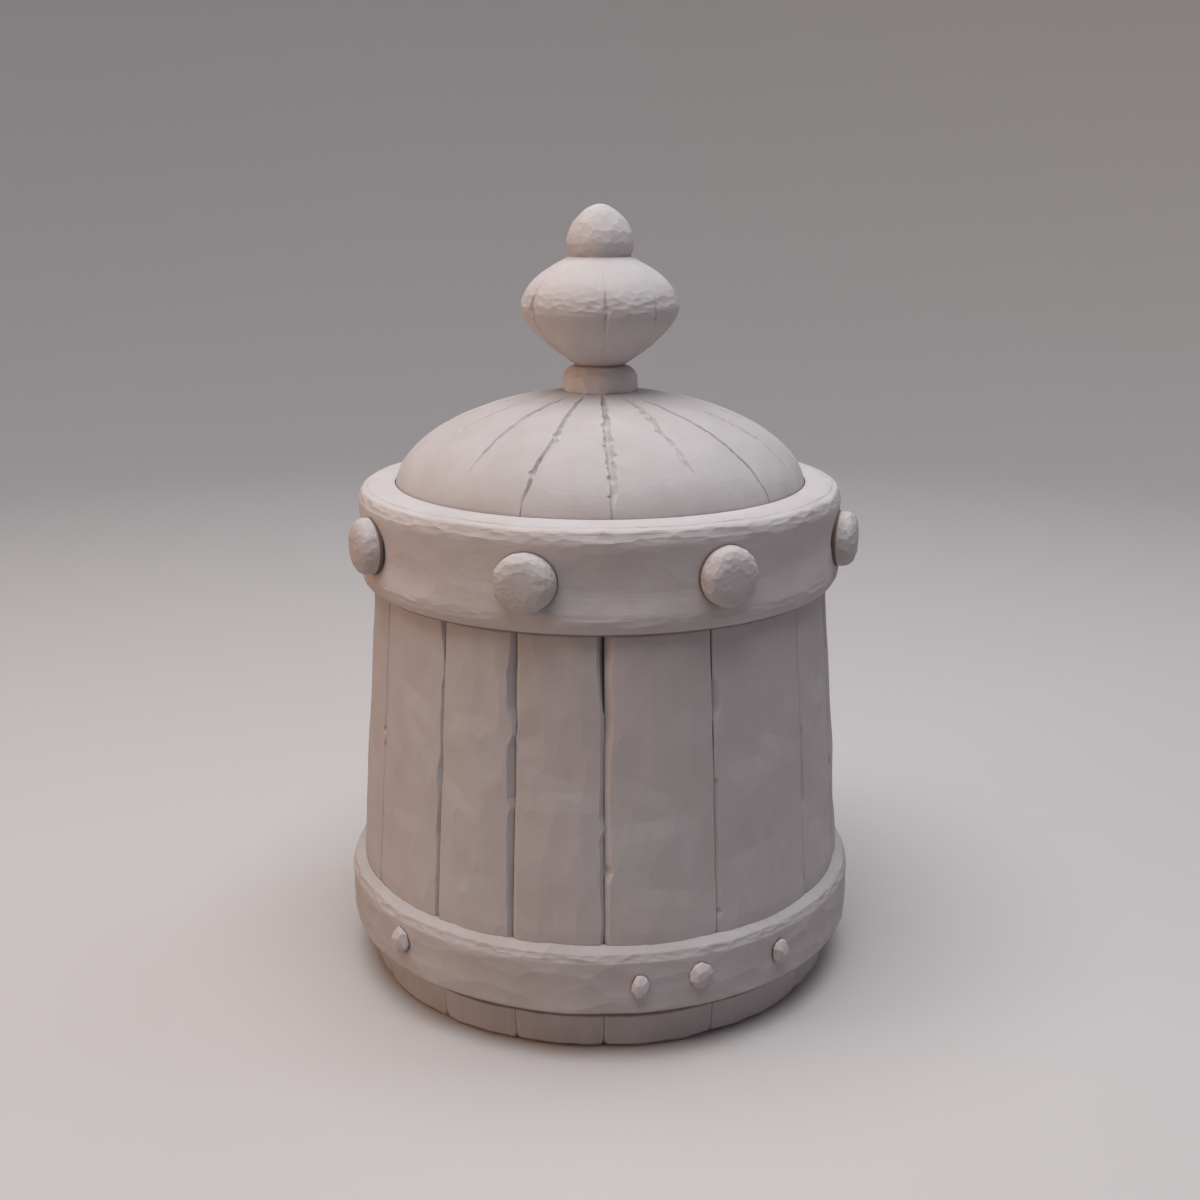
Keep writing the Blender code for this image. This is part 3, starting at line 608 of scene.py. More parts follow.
def chiselMarks(number):
    seen = [row for row in seenMarks if row[0] == number]
    rng = np.random.default_rng(900 + number)
    while len(seen) < 3:
        seen.append((number, rng.uniform(0.3, 0.7), rng.uniform(40, 104), rng.uniform(12, 26),
                     rng.uniform(0.24, 0.42), rng.uniform(9, 15), rng.uniform(-0.5, 0.3)))
    return seen


def staveSpan(number):  # angles of a stave's two joint faces
    points = nodePoints(f"stave_{number:02d}")
    middle = float(angleOf(points.mean(axis=0)))
    angles = nearestTurn(angleOf(points), middle)
    closed = staveShape["closed"] / staveShape["neck"]
    return float(angles.min()) - closed, float(angles.max()) + closed


staveSpans = {number: staveSpan(number) for number in range(1, 17)}


def staveFace(number, angle, height):  # outside radius of the worked stave
    s = staveShape
    left, right = staveSpans[number]
    radius = staveRadius(height)
    offset = np.zeros_like(radius)
    for side, away in ((-1, (angle - left) * radius), (1, (right - angle) * radius)):
        wide = edgeWidth(number, side, height)
        slope = s["edgeSlope"] * (1.0 + 0.15 * side)
        offset = np.maximum(offset, positive(wide - away) * slope)
        offset += s["roll"] * np.exp(-positive(away) / s["rollReach"])
        if (number, side) in seenSplits:
            end, gape, deep = seenSplits[number, side]
            width = gape * mm * np.sqrt(unit((height / mm - end) / (rimLine - end)))
            offset += deep * mm * unit(1.4 - 1.4 * away / np.maximum(width, 1e-6))
    across = (angle - left) / (right - left)
    for _, place, step, reach, depth, half, slant in chiselMarks(number):
        x = (across - place) * (right - left) * radius
        above = height - step * mm - slant * x
        scoop = np.where(above > 0.0, 1.0 - above / (reach * mm), 1.0 + above / s["markBelow"])
        offset += s["chisel"] * depth * mm * unit(scoop) * unit(1.0 - (x / (half * mm)) ** 2)
    points = polarPoints(radius, angle, height)
    offset += uneven(points * (1.0, 1.0, 0.5), *s["uneven"], 300 + number)
    offset += s["proud"] * (0.5 + 0.5 * math.sin(number * 2.4))
    ease = positive(s["footEase"] - height)
    offset += ease * (1.0 + 0.35 * drift(points, 0.009, 700 + number))
    return radius - offset


def outerRadius(angle, height):  # worked outside of the whole body
    angle, height = np.broadcast_arrays(angle, height)
    radius = np.zeros(angle.shape)
    for number, (left, right) in staveSpans.items():
        here = nearestTurn(angle, 0.5 * (left + right))
        inside = (here >= left - 0.003) & (here <= right + 0.003)
        if inside.any():
            radius[inside] = staveFace(number, np.clip(here[inside], left, right), height[inside])
    return radius


def staveColumns(width):
    s = staveShape
    near = np.arange(0.0, s["fineReach"], s["fine"])
    count = max(4, int((width - 2.0 * s["fineReach"]) / s["coarse"]))
    middle = np.linspace(s["fineReach"], width - s["fineReach"], count)
    return np.concatenate([near, middle, (width - near)[::-1]]) / width


def hewnStave(number):
    s = staveShape
    left, right = staveSpans[number]
    share = staveColumns(s["belly"] * (right - left))
    low, high, deep = s["groove"]
    rows = np.linspace(s["base"], s["top"], int(s["top"] / s["row"]))
    rows = np.unique(np.concatenate([rows, [low, low + 1e-5, high, high + 1e-5]]))
    height = rows[:, None] * np.ones(len(share))[None, :]
    back = s["gap"] * (2.0 + lineDrift(rows, 0.018, number))[:, None] / staveRadius(height)
    angle = left + back + (right - left - 2.0 * back) * share[None, :]
    outer = polarPoints(staveFace(number, angle, height), angle, height)
    outer -= outwards(angle) * gouged(outer, *s["marks"], 1000 + number)[..., None]
    bore = boreRadius(height) + np.where((height > low) & (height <= high), deep, 0.0)
    bore = bore + s["boreWave"] * drift(outer * (1.0, 1.0, 0.3), 0.012, 1100 + number)
    inner = polarPoints(bore, angle, height)
    grid = np.concatenate([outer, inner[:, ::-1]], axis=1)
    count = len(share)
    faces = gridQuads(len(rows), 2 * count, False, True)
    caps = []
    for start in (0, (len(rows) - 1) * 2 * count):
        for k in range(count - 1):
            caps.append((start + k, start + k + 1, start + 2 * count - 2 - k, start + 2 * count - 1 - k))
    piece = meshPiece(f"hewnStave{number:02d}", grid, np.vstack([faces, caps]))
    dress(piece, f"stave_{number:02d}", staveFinish, s["triangles"])


for staveNumber in staveSpans:
    hewnStave(staveNumber)
print("staves:", len(staveSpans))


# Rim ring

rimShape = {
    "seat": 0.1528, "mouth": 0.0591, "mouthRound": 0.0012, "rebate": 0.1343, "skirt": 0.0035,
    "step": 0.1543, "stepGap": 0.00008,  # upright edge that the dome stands in
    "crestPlace": 0.49, "topSlope": 0.0020, "topCurve": 1.4, "topDrop": 0.0047,
    "bottomRound": 0.0052, "bottomInset": 0.0030,
    "waist": 0.0010, "waistHeight": 0.1385,  # the band is worked hollow
    "uneven": (0.00010, 0.030), "topUneven": (0.00008, 0.016),
    "broad": (0.00034, 190, (2.2, 2.2, 1.0)), "sliver": (0.00027, 3000, (3.4, 3.4, 1.0)),
    "columns": 760, "triangles": 11000,
}


def rimRing():
    s = rimShape
    low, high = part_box("rim_ring")
    radius, bottom, top = high.x, low.z, high.z
    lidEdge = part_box("lid_dome")[1].x
    skirtIn = radius - s["skirt"]
    crest = lidEdge + s["crestPlace"] * (radius - lidEdge)
    lip = s["mouthRound"]
    outline = arcPoints((s["mouth"] + lip, s["seat"] - lip), lip, 180, 90, 0.0004)
    stepFrom(outline, 0.0009)
    stepEdge = lidEdge + s["stepGap"]
    outline.append((stepEdge, s["seat"], 0.0005))
    for share in np.linspace(0.0, 1.0, 9)[:-1]:
        climb = (top - s["step"]) * (1.0 - (1.0 - share) ** 2)
        outline.append((stepEdge + (crest - stepEdge) * share, s["step"] + climb, 0.0006))
    for share in np.linspace(0.0, 1.0, 15):
        outline.append((crest + (radius - crest) * share, top - ledgeFall(s, share), 0.0004))
    stepFrom(outline, 0.0006)
    bandBottom = bottom + s["bottomRound"]
    inset = s["bottomInset"]
    outline += arcPoints((radius - inset, bandBottom), inset, 0, -90, 0.0004, s["bottomRound"])
    outline += [(skirtIn, bottom, 0.002), (skirtIn, s["rebate"], 0.003), (s["mouth"], s["rebate"], 0.002)]
    grid, points = turned(outline, s["columns"])
    turn = angleOf(points)
    far = fromAxis(points)
    ring = polarPoints(radius, turn, 0.0)
    middle = s["waistHeight"] + 0.0014 * drift(ring, 0.06, 21)
    bandTop = top - s["topDrop"]
    height = points[:, 2]
    halfBand = np.where(height > middle, bandTop - middle, middle - bandBottom)
    fromMiddle = np.abs(height - middle) / halfBand
    hollow = s["waist"] * (1.0 + 0.30 * drift(ring, 0.045, 22)) * unit(1.0 - fromMiddle ** 1.6)
    worked = unit((far - skirtIn) / 0.001)
    dip = hollow + uneven(points, *s["uneven"], 25) + gouged(points, *s["broad"], 23)
    sliver = gouged(points, *s["sliver"], 24)
    bandOnly = unit(np.minimum(height - bandBottom, bandTop - height) / 0.001)
    points -= outwards(turn) * ((dip + sliver * (1.0 - bandOnly)) * worked)[:, None]
    onTop = unit((height - s["step"] + 0.0035) / 0.003) * unit((far - lidEdge) / 0.004)
    points[:, 2] -= onTop * (uneven(points, *s["topUneven"], 26) + sliver)
    dress(ringPiece("hewnRim", grid), "rim_ring", rimFinish, s["triangles"])


rimRing()
print("rim ring")


# Lower hoop

hoopShape = {
    "thick": 0.0036, "topSlope": 0.0017, "topCurve": 1.3, "topDrop": 0.0040, "bottomRound": 0.0014,
    "fit": -0.00015, "least": 0.00003, "uneven": (0.00012, 0.026), "topUneven": (0.00006, 0.012),
    "face": (0.00030, 300, (2.0, 2.0, 1.0)), "edge": (0.00036, 1700, (2.2, 2.2, 1.0)),
    "columns": 760, "triangles": 7600,
}


def lowerHoop():
    s = hoopShape
    low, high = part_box("lower_hoop")
    radius, bottom, top = high.x, low.z, high.z
    outline = []
    for share in np.linspace(0.0, 1.0, 13):
        outline.append((radius - s["thick"] * (1.0 - share), top - ledgeFall(s, share), 0.0004))
    stepFrom(outline, 0.0007)
    turn = s["bottomRound"]
    outline += arcPoints((radius - turn, bottom + turn), turn, 0, -90, 0.0004)
    skin, points = turned(outline, s["columns"], False)
    edge = unit((points[:, 2] - top + 0.0045) / 0.002)
    small = gouged(points, *s["edge"], 42)
    dip = s["least"] + np.abs(uneven(points, *s["uneven"], 41))
    pressIn(points, dip + gouged(points, *s["face"], 43) + small * edge)
    points[:, 2] -= edge * (uneven(points, *s["topUneven"], 44) + small)
    angles = ringAngles(s["columns"])[:, None]
    heights = np.linspace(bottom, top, 8)[None, :]
    inside = polarPoints(outerRadius(angles, heights) + s["fit"], angles, heights)
    inside[:, -1, 2] = skin[:, 0, 2]
    ledge = []
    for share in (0.25, 0.5, 0.75):  # the top runs in to the staves
        ledge.append(inside[:, -1] * (1.0 - share) + skin[:, 0] * share)
    grid = np.concatenate([inside, np.stack(ledge, axis=1), skin], axis=1)
    dress(ringPiece("hewnHoop", grid), "lower_hoop", hoopFinish, s["triangles"])


lowerHoop()
print("lower hoop")


# Studs and nails

def facingOut(node, radius):  # places a piece made about +Z so that Z points straight out of the body
    points = nodePoints(node)
    low, high = points.min(axis=0), points.max(axis=0)
    turn = float(angleOf(points.mean(axis=0)))
    across = Vector(outwards(turn + 0.5 * math.pi))
    outward = Vector(outwards(turn))
    rotation = Matrix((across, (0.0, 0.0, 1.0), outward)).transposed().to_4x4()
    return Matrix.Translation(Vector(polarPoints(radius, turn, 0.5 * (low[2] + high[2])))) @ rotation


def moved(points, matrix):
    m = np.array(matrix)
    return points @ m[:3, :3].T + m[:3, 3]


studShape = {
    "radius": 0.0084, "height": 0.0052, "sunk": 0.0018, "side": 0.0011, "fullness": 2.6,
    "uneven": (0.006, 0.007), "marks": (0.030, 230, (1.2, 1.0, 1.0)),  # depths as shares of the head
    "facets": ((5, (30, 75), (0.00005, 0.00016), 0.35),),
    "seat": 0.0003, "columns": 96, "triangles": 860,
}
# Stretch of the studs seen from the front, across and upright, and their lift (mm)
studStretch = {1: (1.0, 1.0, 0.7), 2: (1.05, 0.975, 0.0), 3: (0.985, 1.02, 0.3)}
# Flat facets of the studs seen from the front: stud, direction round the head, tilt, depth (mm)
studFlats = ((2, 180, 20, 0.5), (2, 100, 40, 0.25), (3, -30, 72, 0.30), (3, 150, 35, 0.3),
             (1, 90, 60, 0.25), (4, 110, 55, 0.3))


def rimStud(number):
    s = studShape
    node = f"rim_stud_{number:02d}"
    outline = crownPoints(s["radius"], s["height"] - s["side"], s["fullness"], s["side"])
    outline += [(s["radius"], 0.0, 0.0006), (s["radius"], -s["sunk"], 0.002), (0.0, -s["sunk"], 0.002)]
    grid, points = turned(outline, s["columns"], False)
    lump = 1.0 - uneven(points, *s["uneven"], 60 + number) - gouged(points, *s["marks"], 70 + number)
    points *= np.where(points[:, 2] > -0.0005, np.minimum(lump, 1.0), 1.0)[:, None]
    for _, turn, tilt, depth in [row for row in studFlats if row[0] == number]:
        facet(points, facing(math.radians(turn + 90.0), math.radians(tilt)), depth * mm)
    facetRings(points, 80 + number, s["facets"])
    across, tall, lift = studStretch.get(number, (1.0, 1.0, 0.0))
    points = points * (across, tall, 1.0) + (0.0, lift * mm, 0.0)
    points = moved(points, facingOut(node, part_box("rim_ring")[1].x + s["seat"]))
    piece = ringPiece(f"hewnStud{number:02d}", points.reshape(grid.shape), False)
    dress(piece, node, studFinish, s["triangles"])


for studNumber in range(1, 9):
    rimStud(studNumber)
print("studs")

# Nail heads: half width, half height, rise, lift (mm); the first four face the front
nailHeads = ((4.0, 4.6, 2.7, 0.2), (2.9, 4.1, 2.5, -1.0), (4.1, 4.3, 2.7, 0.4), (3.4, 4.2, 2.7, 0.1),
             (3.7, 4.0, 2.6, 0.0), (3.4, 4.2, 2.5, 0.3), (4.0, 3.8, 2.7, -0.4), (3.6, 4.1, 2.6, 0.2),
             (3.9, 4.0, 2.7, 0.0))
nailShape = {
    "sunk": 0.0012, "edge": 0.00004,
    "rings": ((0.0, 1.0, 9), (0.46, 0.90, 7), (0.84, 0.56, 5), (1.0, 0.16, 2)),  # lift, reach and corners
}


def hoopNail(number):
    s = nailShape
    node = f"hoop_nail_{number:02d}"
    wide, tall, rise, raised = nailHeads[number - 1]
    rng = np.random.default_rng(80 + number)
    rough = []
    for lift, reach, count in s["rings"]:
        for k in range(count):
            turn = fullTurn * (k + rng.uniform(-0.35, 0.35)) / count
            far = reach * rng.uniform(0.84, 1.0)
            rough.append((wide * mm * far * math.cos(turn), tall * mm * far * math.sin(turn) + raised * mm,
                          rise * mm * min(1.0, lift * rng.uniform(0.86, 1.06))))
    for x, y, _ in rough[:s["rings"][0][2]]:
        rough.append((x * 0.9, raised * mm + (y - raised * mm) * 0.9, -s["sunk"]))
    shape = bmesh.new()
    for point in moved(np.array(rough), facingOut(node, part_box("lower_hoop")[1].x)):
        shape.verts.new(point)
    hull = bmesh.ops.convex_hull(shape, input=shape.verts)
    spare = hull["geom_interior"] + hull["geom_unused"]
    loose = [item for item in spare if isinstance(item, bmesh.types.BMVert)]
    bmesh.ops.delete(shape, geom=list(set(loose)), context="VERTS")
    bmesh.ops.bevel(shape, geom=shape.edges[:], offset=s["edge"], segments=1, affect="EDGES",
                    clamp_overlap=True)
    bmesh.ops.recalc_face_normals(shape, faces=shape.faces)
    name = f"forgedNail{number:02d}"
    mesh = bpy.data.meshes.new(name)
    shape.to_mesh(mesh)
    shape.free()
    dress(linked(name, mesh), node, nailFinish)


for nailNumber in range(1, 10):
    hoopNail(nailNumber)
print("nails")


# Dome of the lid

rodBore = 0.0028  # hole for the finial's rod, through the dome and all that stands on it
domeShape = {
    "rise": 0.0288, "fullness": 1.88, "wall": 0.0060, "crown": 0.0115,
    "socket": 0.01120, "socketDepth": 0.0007,  # the collar is let in a little
    "edgeRound": 0.0009, "edgeInset": 0.0015, "settle": 0.00028,  # sits down onto the rim's seat
    "cavity": 0.0531, "washer": 0.0088,
    "arc": 0.060, "uneven": (0.00006, 0.026), "marks": (0.00010, 520, evenly), "grooveDepth": 0.85,
    "fineColumns": 26, "plainColumns": 20, "fineHalf": 0.0040, "row": 0.00050, "triangles": 18000,
}
# Grooves seen from the front: path of (radius, angle), left and right half width, depth (mm)
grooveCuts = (
    (((16, -64.0), (52, -64.0)), 0.50, 0.55, 0.60),
    (((15, -39.5), (59, -39.5)), 0.70, 0.75, 1.00),
    (((15, -19.2), (35, -17.1), (46, -17.1), (52, -18.7), (59, -19.4), (65, -21.0)), 0.75, 0.85, 1.30),
    (((12, 2.9), (66, 2.9)), 0.95, 1.15, 1.60),
    (((14, 25.5), (31, 26.0), (42, 24.4), (48, 25.5), (56, 26.5), (60, 27.5)), 0.85, 1.30, 1.30),
    (((18, 41.0), (34, 44.0), (44, 46.0), (50, 46.2), (55, 47.0), (61, 48.6), (65, 51.0)),
     0.60, 0.60, 1.30),
    (((32, 66.0), (62, 67.0)), 0.50, 0.55, 1.00), (((30, 84.5), (54, 84.5)), 0.50, 0.55, 0.80),
)


def allGrooves():
    grooves = list(grooveCuts)
    first, last = grooves[-1][0][0][1], grooves[0][0][0][1] + 360.0
    rng = np.random.default_rng(91)
    for k in range(1, 9):
        angle = first + (last - first) * k / 9.0 + rng.normal(0.0, 0.6)
        path = ((16, angle), (36, angle + rng.normal(0.0, 1.2)), (50, angle + rng.normal(0.0, 0.8)),
                (rng.uniform(57, 66), angle + rng.normal(0.0, 0.8)))
        wide = rng.uniform(0.6, 1.0)
        grooves.append((path, wide, wide * rng.uniform(1.0, 1.5), rng.uniform(0.8, 1.4)))
    return grooves


def groovePath(path, far, seed):  # angle of a groove at each radius
    reach = [r * mm for r, _ in path]
    angle = np.radians(np.interp(far, reach, [a for _, a in path]))
    return angle + 0.00022 * lineDrift(far, 0.006, seed) / np.maximum(far, 0.012)


def domeAngles(grooves, far):  # one row of columns at each radius, crowded together along the grooves
    s = domeShape
    paths = [groovePath(groove[0], far, 400 + k) for k, groove in enumerate(grooves)]
    near = s["fineHalf"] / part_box("lid_dome")[1].x
    columns = []
    for here, following in zip(paths, paths[1:] + [paths[0] + fullTurn]):
        for share in np.linspace(-1.0, 1.0, s["fineColumns"], endpoint=False):
            columns.append(here + near * share)
        for share in np.linspace(0.0, 1.0, s["plainColumns"], endpoint=False):
            columns.append(here + near + (following - here - 2.0 * near) * share)
    return np.array(columns)


def domeOutline(seat, radius):
    s = domeShape
    first = math.acos((s["crown"] / radius) ** (0.5 * s["fullness"]))
    count = int(s["arc"] / s["row"])
    crown = seat + ovalPoint(first, radius, s["rise"], s["fullness"])[1]
    floor = crown - s["socketDepth"]
    outline = [(rodBore, floor, 0.0012), (s["socket"], floor, 0.0003)]
    for k in range(count + 1):
        reach, lift = ovalPoint(first * (1.0 - k / count), radius, s["rise"], s["fullness"])
        if reach > s["socket"] and lift > s["edgeRound"]:
            outline.append((reach, seat + lift, s["row"]))
    edge = outline[-1][0]
    inset, ease = s["edgeInset"], s["edgeRound"]
    outline += arcPoints((edge - inset, seat + ease), inset, 0, -90, 0.0005, ease)
    outside = len(walk(outline, False))
    outline.append((outline[-1][0], seat - s["settle"], 0.002))
    last = math.acos(s["washer"] / s["cavity"])
    outline.append((s["cavity"], seat - s["settle"], 0.002))
    inside = s["rise"] - s["wall"]
    for k in range(25):
        turn = last * k / 24
        outline.append((s["cavity"] * math.cos(turn), seat + inside * math.sin(turn), 0.0025))
    outline.append((rodBore, seat + inside * math.sin(last), 0.002))
    return walk(outline, True), outside


def domeLid():
    s = domeShape
    low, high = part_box("lid_dome")
    seat, radius = low.z, high.x
    grooves = allGrooves()
    rows, outside = domeOutline(seat, radius)
    angles = domeAngles(grooves, rows[:, 0])
    points = polarPoints(rows[None, :, 0], angles, rows[None, :, 1])
    far, lift = rows[:outside, 0], rows[:outside, 1] - seat
    power = s["fullness"] - 1.0
    slope = np.stack([(far / radius) ** power / radius, unit(lift / s["rise"]) ** power / s["rise"]])
    slope /= np.linalg.norm(slope, axis=0)
    skin = points[:, :outside]
    turn = angles[:, :outside]
    far = far[None, :]
    depth = uneven(skin, *s["uneven"], 92) + gouged(skin, *s["marks"], 93)
    for k, (path, left, right, deep) in enumerate(grooves):
        start, end = path[0][0] * mm, path[-1][0] * mm
        at = groovePath(path, far, 400 + k)
        x = (nearestTurn(turn, at) - at) * far
        life = unit((far - start) / 0.006 + 0.35) * unit((end - far) / 0.006)
        life = life * unit(0.35 + far / 0.040)
        sides = []
        for half, seed in ((left, 440 + k), (right, 470 + k)):
            chips = positive(broken(far, 0.0017, seed + 60) - 0.45) * np.clip(far / 0.040, 0.3, 1.1)
            rough = 1.0 + 0.40 * broken(far, 0.0012, seed) + 0.15 * lineDrift(far, 0.009, seed)
            sides.append(half * rough + 2.4 * chips * half ** 0.5)
        wide = np.where(x < 0.0, sides[0], sides[1]) * mm * life
        deepness = deep * mm * life * (1.0 + 0.22 * broken(far, 0.0016, 580 + k))
        cut = s["grooveDepth"] * deepness * unit(1.0 - (np.abs(x) / np.maximum(wide, 1e-5)) ** 1.4)
        depth = np.maximum(depth, 0.6 * depth + cut)
    fade = unit(lift / 0.0012) * unit((rows[:outside, 0] - s["crown"]) / 0.001)
    depth = depth * fade[None, :]
    inward = polarPoints(slope[0][None, :], turn, slope[1][None, :])
    points[:, :outside] = skin - inward * depth[..., None]
    dress(ringPiece("carvedDome", points), "lid_dome", lidFinish, s["triangles"])


domeLid()
print("dome")


# Finial: collar, lobed bulb and ball

finialSettle = 0.00028  # each piece sits down on the one below
collarShape = {
    "fuller": 0.0001, "sunk": 0.00065, "topRound": 0.0042, "bottomRound": 0.0010,
    "uneven": (0.00010, 0.008), "marks": (0.00016, 90, evenly), "columns": 140, "triangles": 380,
    "facets": ((10, (-14, 12), (0.00014, 0.00042), 0.35), (9, (25, 60), (0.00010, 0.00034), 0.35)),
}


def finialCollar():
    s = collarShape
    low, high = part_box("finial_collar")
    radius = high.x + s["fuller"]
    base = low.z - finialSettle - s["sunk"]
    outline = arcPoints((radius - s["topRound"], high.z - s["topRound"]), s["topRound"], 90, 0, 0.0004)
    turn = s["bottomRound"]
    outline += arcPoints((radius - turn, base + turn), turn, 0, -90, 0.0004)
    outline += [(rodBore, base, 0.001), (rodBore, high.z, 0.001)]
    grid, points = turned(outline, s["columns"])
    pressIn(points, uneven(points, *s["uneven"], 111) + gouged(points, *s["marks"], 113))
    facetRings(points, 112, s["facets"])
    dress(ringPiece("hewnCollar", grid), "finial_collar", collarLitFinish, s["triangles"])


finialCollar()

bulbShape = {
    "lower": 0.0169, "upper": 0.0150, "bottom": 0.0078, "top": 0.0095,
    "upperFullness": 2.1, "lowerFullness": 1.65, "row": 0.0004, "columns": 360, "triangles": 6400,
    "uneven": (0.00006, 0.011), "long": (0.00012, 230, (1.0, 1.0, 2.6)),
    "belt": (0.00024, 1500, (2.0, 2.0, 1.0)),  # small facets just over the widest line
    "bands": (-0.0046, -0.0026, -0.0012, 0.0003, 0.0016, 0.0032),  # flats round the widest line
}
# Creases between the lobes: angle, half width, depth, how far the lobes turn in (mm)
bulbCreases = ((-61.0, 1.2, 1.5, 0.9), (4.3, 0.80, 0.75, 0.45), (45.5, 0.5, 0.60, 0.35),
               (106.0, 0.7, 0.8, 0.5), (166.0, 0.7, 0.8, 0.5), (226.0, 0.7, 0.8, 0.5))


def bulbRadius(height, radius):
    s = bulbShape
    above = unit((height - s["lower"]) / s["upper"])
    below = unit((s["lower"] - height) / s["lower"])
    full = radius + (s["top"] - radius) * above ** s["upperFullness"]
    return full + (s["bottom"] - radius) * below ** s["lowerFullness"]


def finialBulb():
    s = bulbShape
    low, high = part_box("finial_bulb")
    radius = 0.5 * (high.x - low.x)
    whole = s["lower"] + s["upper"]
    heights = np.arange(0.0, whole, s["row"])[::-1]
    banded = np.array(s["bands"]) + s["lower"]
    sides = np.stack([bulbRadius(heights, radius), low.z + heights], axis=-1)
    cap = walk([(rodBore, low.z + whole, 0.001), (s["top"], low.z + whole, 0.001)], False)
    base = low.z - finialSettle
    foot = walk([(s["bottom"], base, 0.001), (rodBore, base, 0.001)], False)
    rows = np.vstack([cap, sides, foot])
    grid = spin(rows, ringAngles(s["columns"]))
    points = grid.reshape(-1, 3)
    height = points[:, 2] - low.z
    far = fromAxis(points)
    side = np.tile(np.arange(len(rows)), s["columns"])
    side = (side >= len(cap)) & (side < len(cap) + len(sides))
    turn = angleOf(points)
    sway = 0.0004 * np.sin(2.0 * turn + 0.6) + 0.0003 * np.sin(5.0 * turn)
    belt = np.interp(height + sway, banded, bulbRadius(banded, radius))
    inBelt = (height + sway > banded[0]) & (height + sway < banded[-1])
    offset = np.where(inBelt, positive(bulbRadius(height + sway, radius) - belt), 0.0)
    shoulder = np.exp(-((height - s["lower"] - 0.0020) / 0.0044) ** 2)
    offset += uneven(points, *s["uneven"], 121) + gouged(points, *s["long"], 122)
    offset += shoulder * gouged(points, *s["belt"], 123)
    middle = 0.5 * whole
    reach = unit(1.0 - ((height - middle) / middle) ** 2)
    for k, (angle, wide, deep, turnIn) in enumerate(bulbCreases):
        at = math.radians(angle)
        x = (nearestTurn(turn, at) - at) * far + 0.00022 * lineDrift(height, 0.006, 130 + k)
        nip = np.exp(-((height - s["lower"] + 0.0002) / 0.0034) ** 2)  # deepest at the widest line
        narrow = wide * mm * (0.6 + 0.6 * nip) * (1.0 + 0.25 * lineDrift(height, 0.003, 140 + k))
        cut = unit(1.0 - np.abs(x) / narrow) * (0.75 * reach + 0.45 * nip)
        offset += deep * mm * cut + turnIn * mm * np.exp(-(x / 0.0045) ** 2) * reach
    points -= outwards(turn) * (offset * side)[:, None]
    dress(ringPiece("lobedBulb", grid), "finial_bulb", finialFinish, s["triangles"])


finialBulb()

ballShape = {
    "radius": 0.0103, "drop": 0.0036, "foot": 0.0093, "fullness": 1.78, "hole": 0.0093, "clear": 0.00003,
    "uneven": (0.00004, 0.008), "marks": (0.00019, 380, (1.3, 1.3, 1.0)), "columns": 140, "triangles": 1500,
    "facets": ((11, (-9, -6), (0.00006, 0.00012), 0.15), (13, (8, 13), (0.00007, 0.00013), 0.15),
               (10, (22, 34), (0.00012, 0.00026), 0.35), (8, (36, 52), (0.00010, 0.00022), 0.35),
               (4, (60, 74), (0.00003, 0.00008), 0.35)),
}


def finialBall():
    s = ballShape
    low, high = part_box("finial_ball")
    widest = low.z + s["drop"]
    outline = crownPoints(s["radius"], high.z - widest - s["clear"], s["fullness"], widest)
    for k in range(1, 7):
        share = k / 6
        reach = s["radius"] + (s["foot"] - s["radius"]) * share ** 2
        outline.append((reach, widest - s["drop"] * share, 0.0005))
    base = low.z - finialSettle
    deep = low.z + s["hole"]
    outline += [(s["foot"], base, 0.001), (rodBore, base, 0.001), (rodBore, deep, 0.002), (0.0, deep, 0.001)]
    grid, points = turned(outline, s["columns"], False)
    skin = points[:, 2] > low.z + 0.0002
    skin &= fromAxis(points) > rodBore + 0.0005
    shell = points[skin]
    pressIn(shell, uneven(shell, *s["uneven"], 151) + gouged(shell, *s["marks"], 153))
    facetRings(shell, 152, s["facets"])
    points[skin] = shell
    dress(ringPiece("hewnBall", grid, False), "finial_ball", finialFinish, s["triangles"])


finialBall()
print("finial")


# Inside: floor board, locating ring, rod, washer and nut

floorShape = {"ease": 0.0012, "uneven": (0.00014, 0.005), "columns": 240, "triangles": 9000}


def floorBoard():
    s = floorShape
    low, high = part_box("floor_board")
    radius = high.x
    ease = s["ease"]
    outline = [(0.0, high.z, 0.0016), (radius - ease, high.z, 0.0005), (radius, high.z - ease, 0.001),
               (radius, low.z + ease, 0.0005), (radius - ease, low.z, 0.0016), (0.0, low.z, 0.002)]
    grid, points = turned(outline, s["columns"], False)
    grain = points * (1.0, 0.12, 1.0)  # planed along Y
    up = np.clip((points[:, 2] - 0.5 * (low.z + high.z)) / 0.003, -1.0, 1.0)
    points[:, 2] -= up * uneven(grain, *s["uneven"], 161)
    board = ringPiece("plankFloor", grid, False)
    dress(board, "floor_board", floorFinish, s["triangles"], 20.0)


locatorShape = {"wall": 0.0050, "ease": 0.0012, "uneven": (0.00012, 0.009), "columns": 420, "triangles": 9000}


def locatingRing():
    s = locatorShape
    low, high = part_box("lid_locating_ring")
    radius, inner = high.x, high.x - s["wall"]
    ease, small = s["ease"], 0.5 * s["ease"]
    outline = [(radius, high.z, 0.0009), (radius, low.z + ease, 0.0004), (radius - ease, low.z, 0.0006),
               (inner + small, low.z, 0.0003), (inner, low.z + small, 0.0009), (inner, high.z, 0.001)]
    grid, points = turned(outline, s["columns"])
    far = fromAxis(points)
    way = np.where(far > radius - 0.5 * s["wall"], 1.0, -1.0)  # into the wood on either face
    pressIn(points, way * uneven(points, *s["uneven"], 171))
    dress(ringPiece("turnedLocator", grid), "lid_locating_ring", lidFinish, s["triangles"], 15.0)


rodShape = {"ease": 0.0005, "threadPitch": 0.0008, "threadDepth": 0.00022, "threadLength": 0.0090,
            "columns": 40}


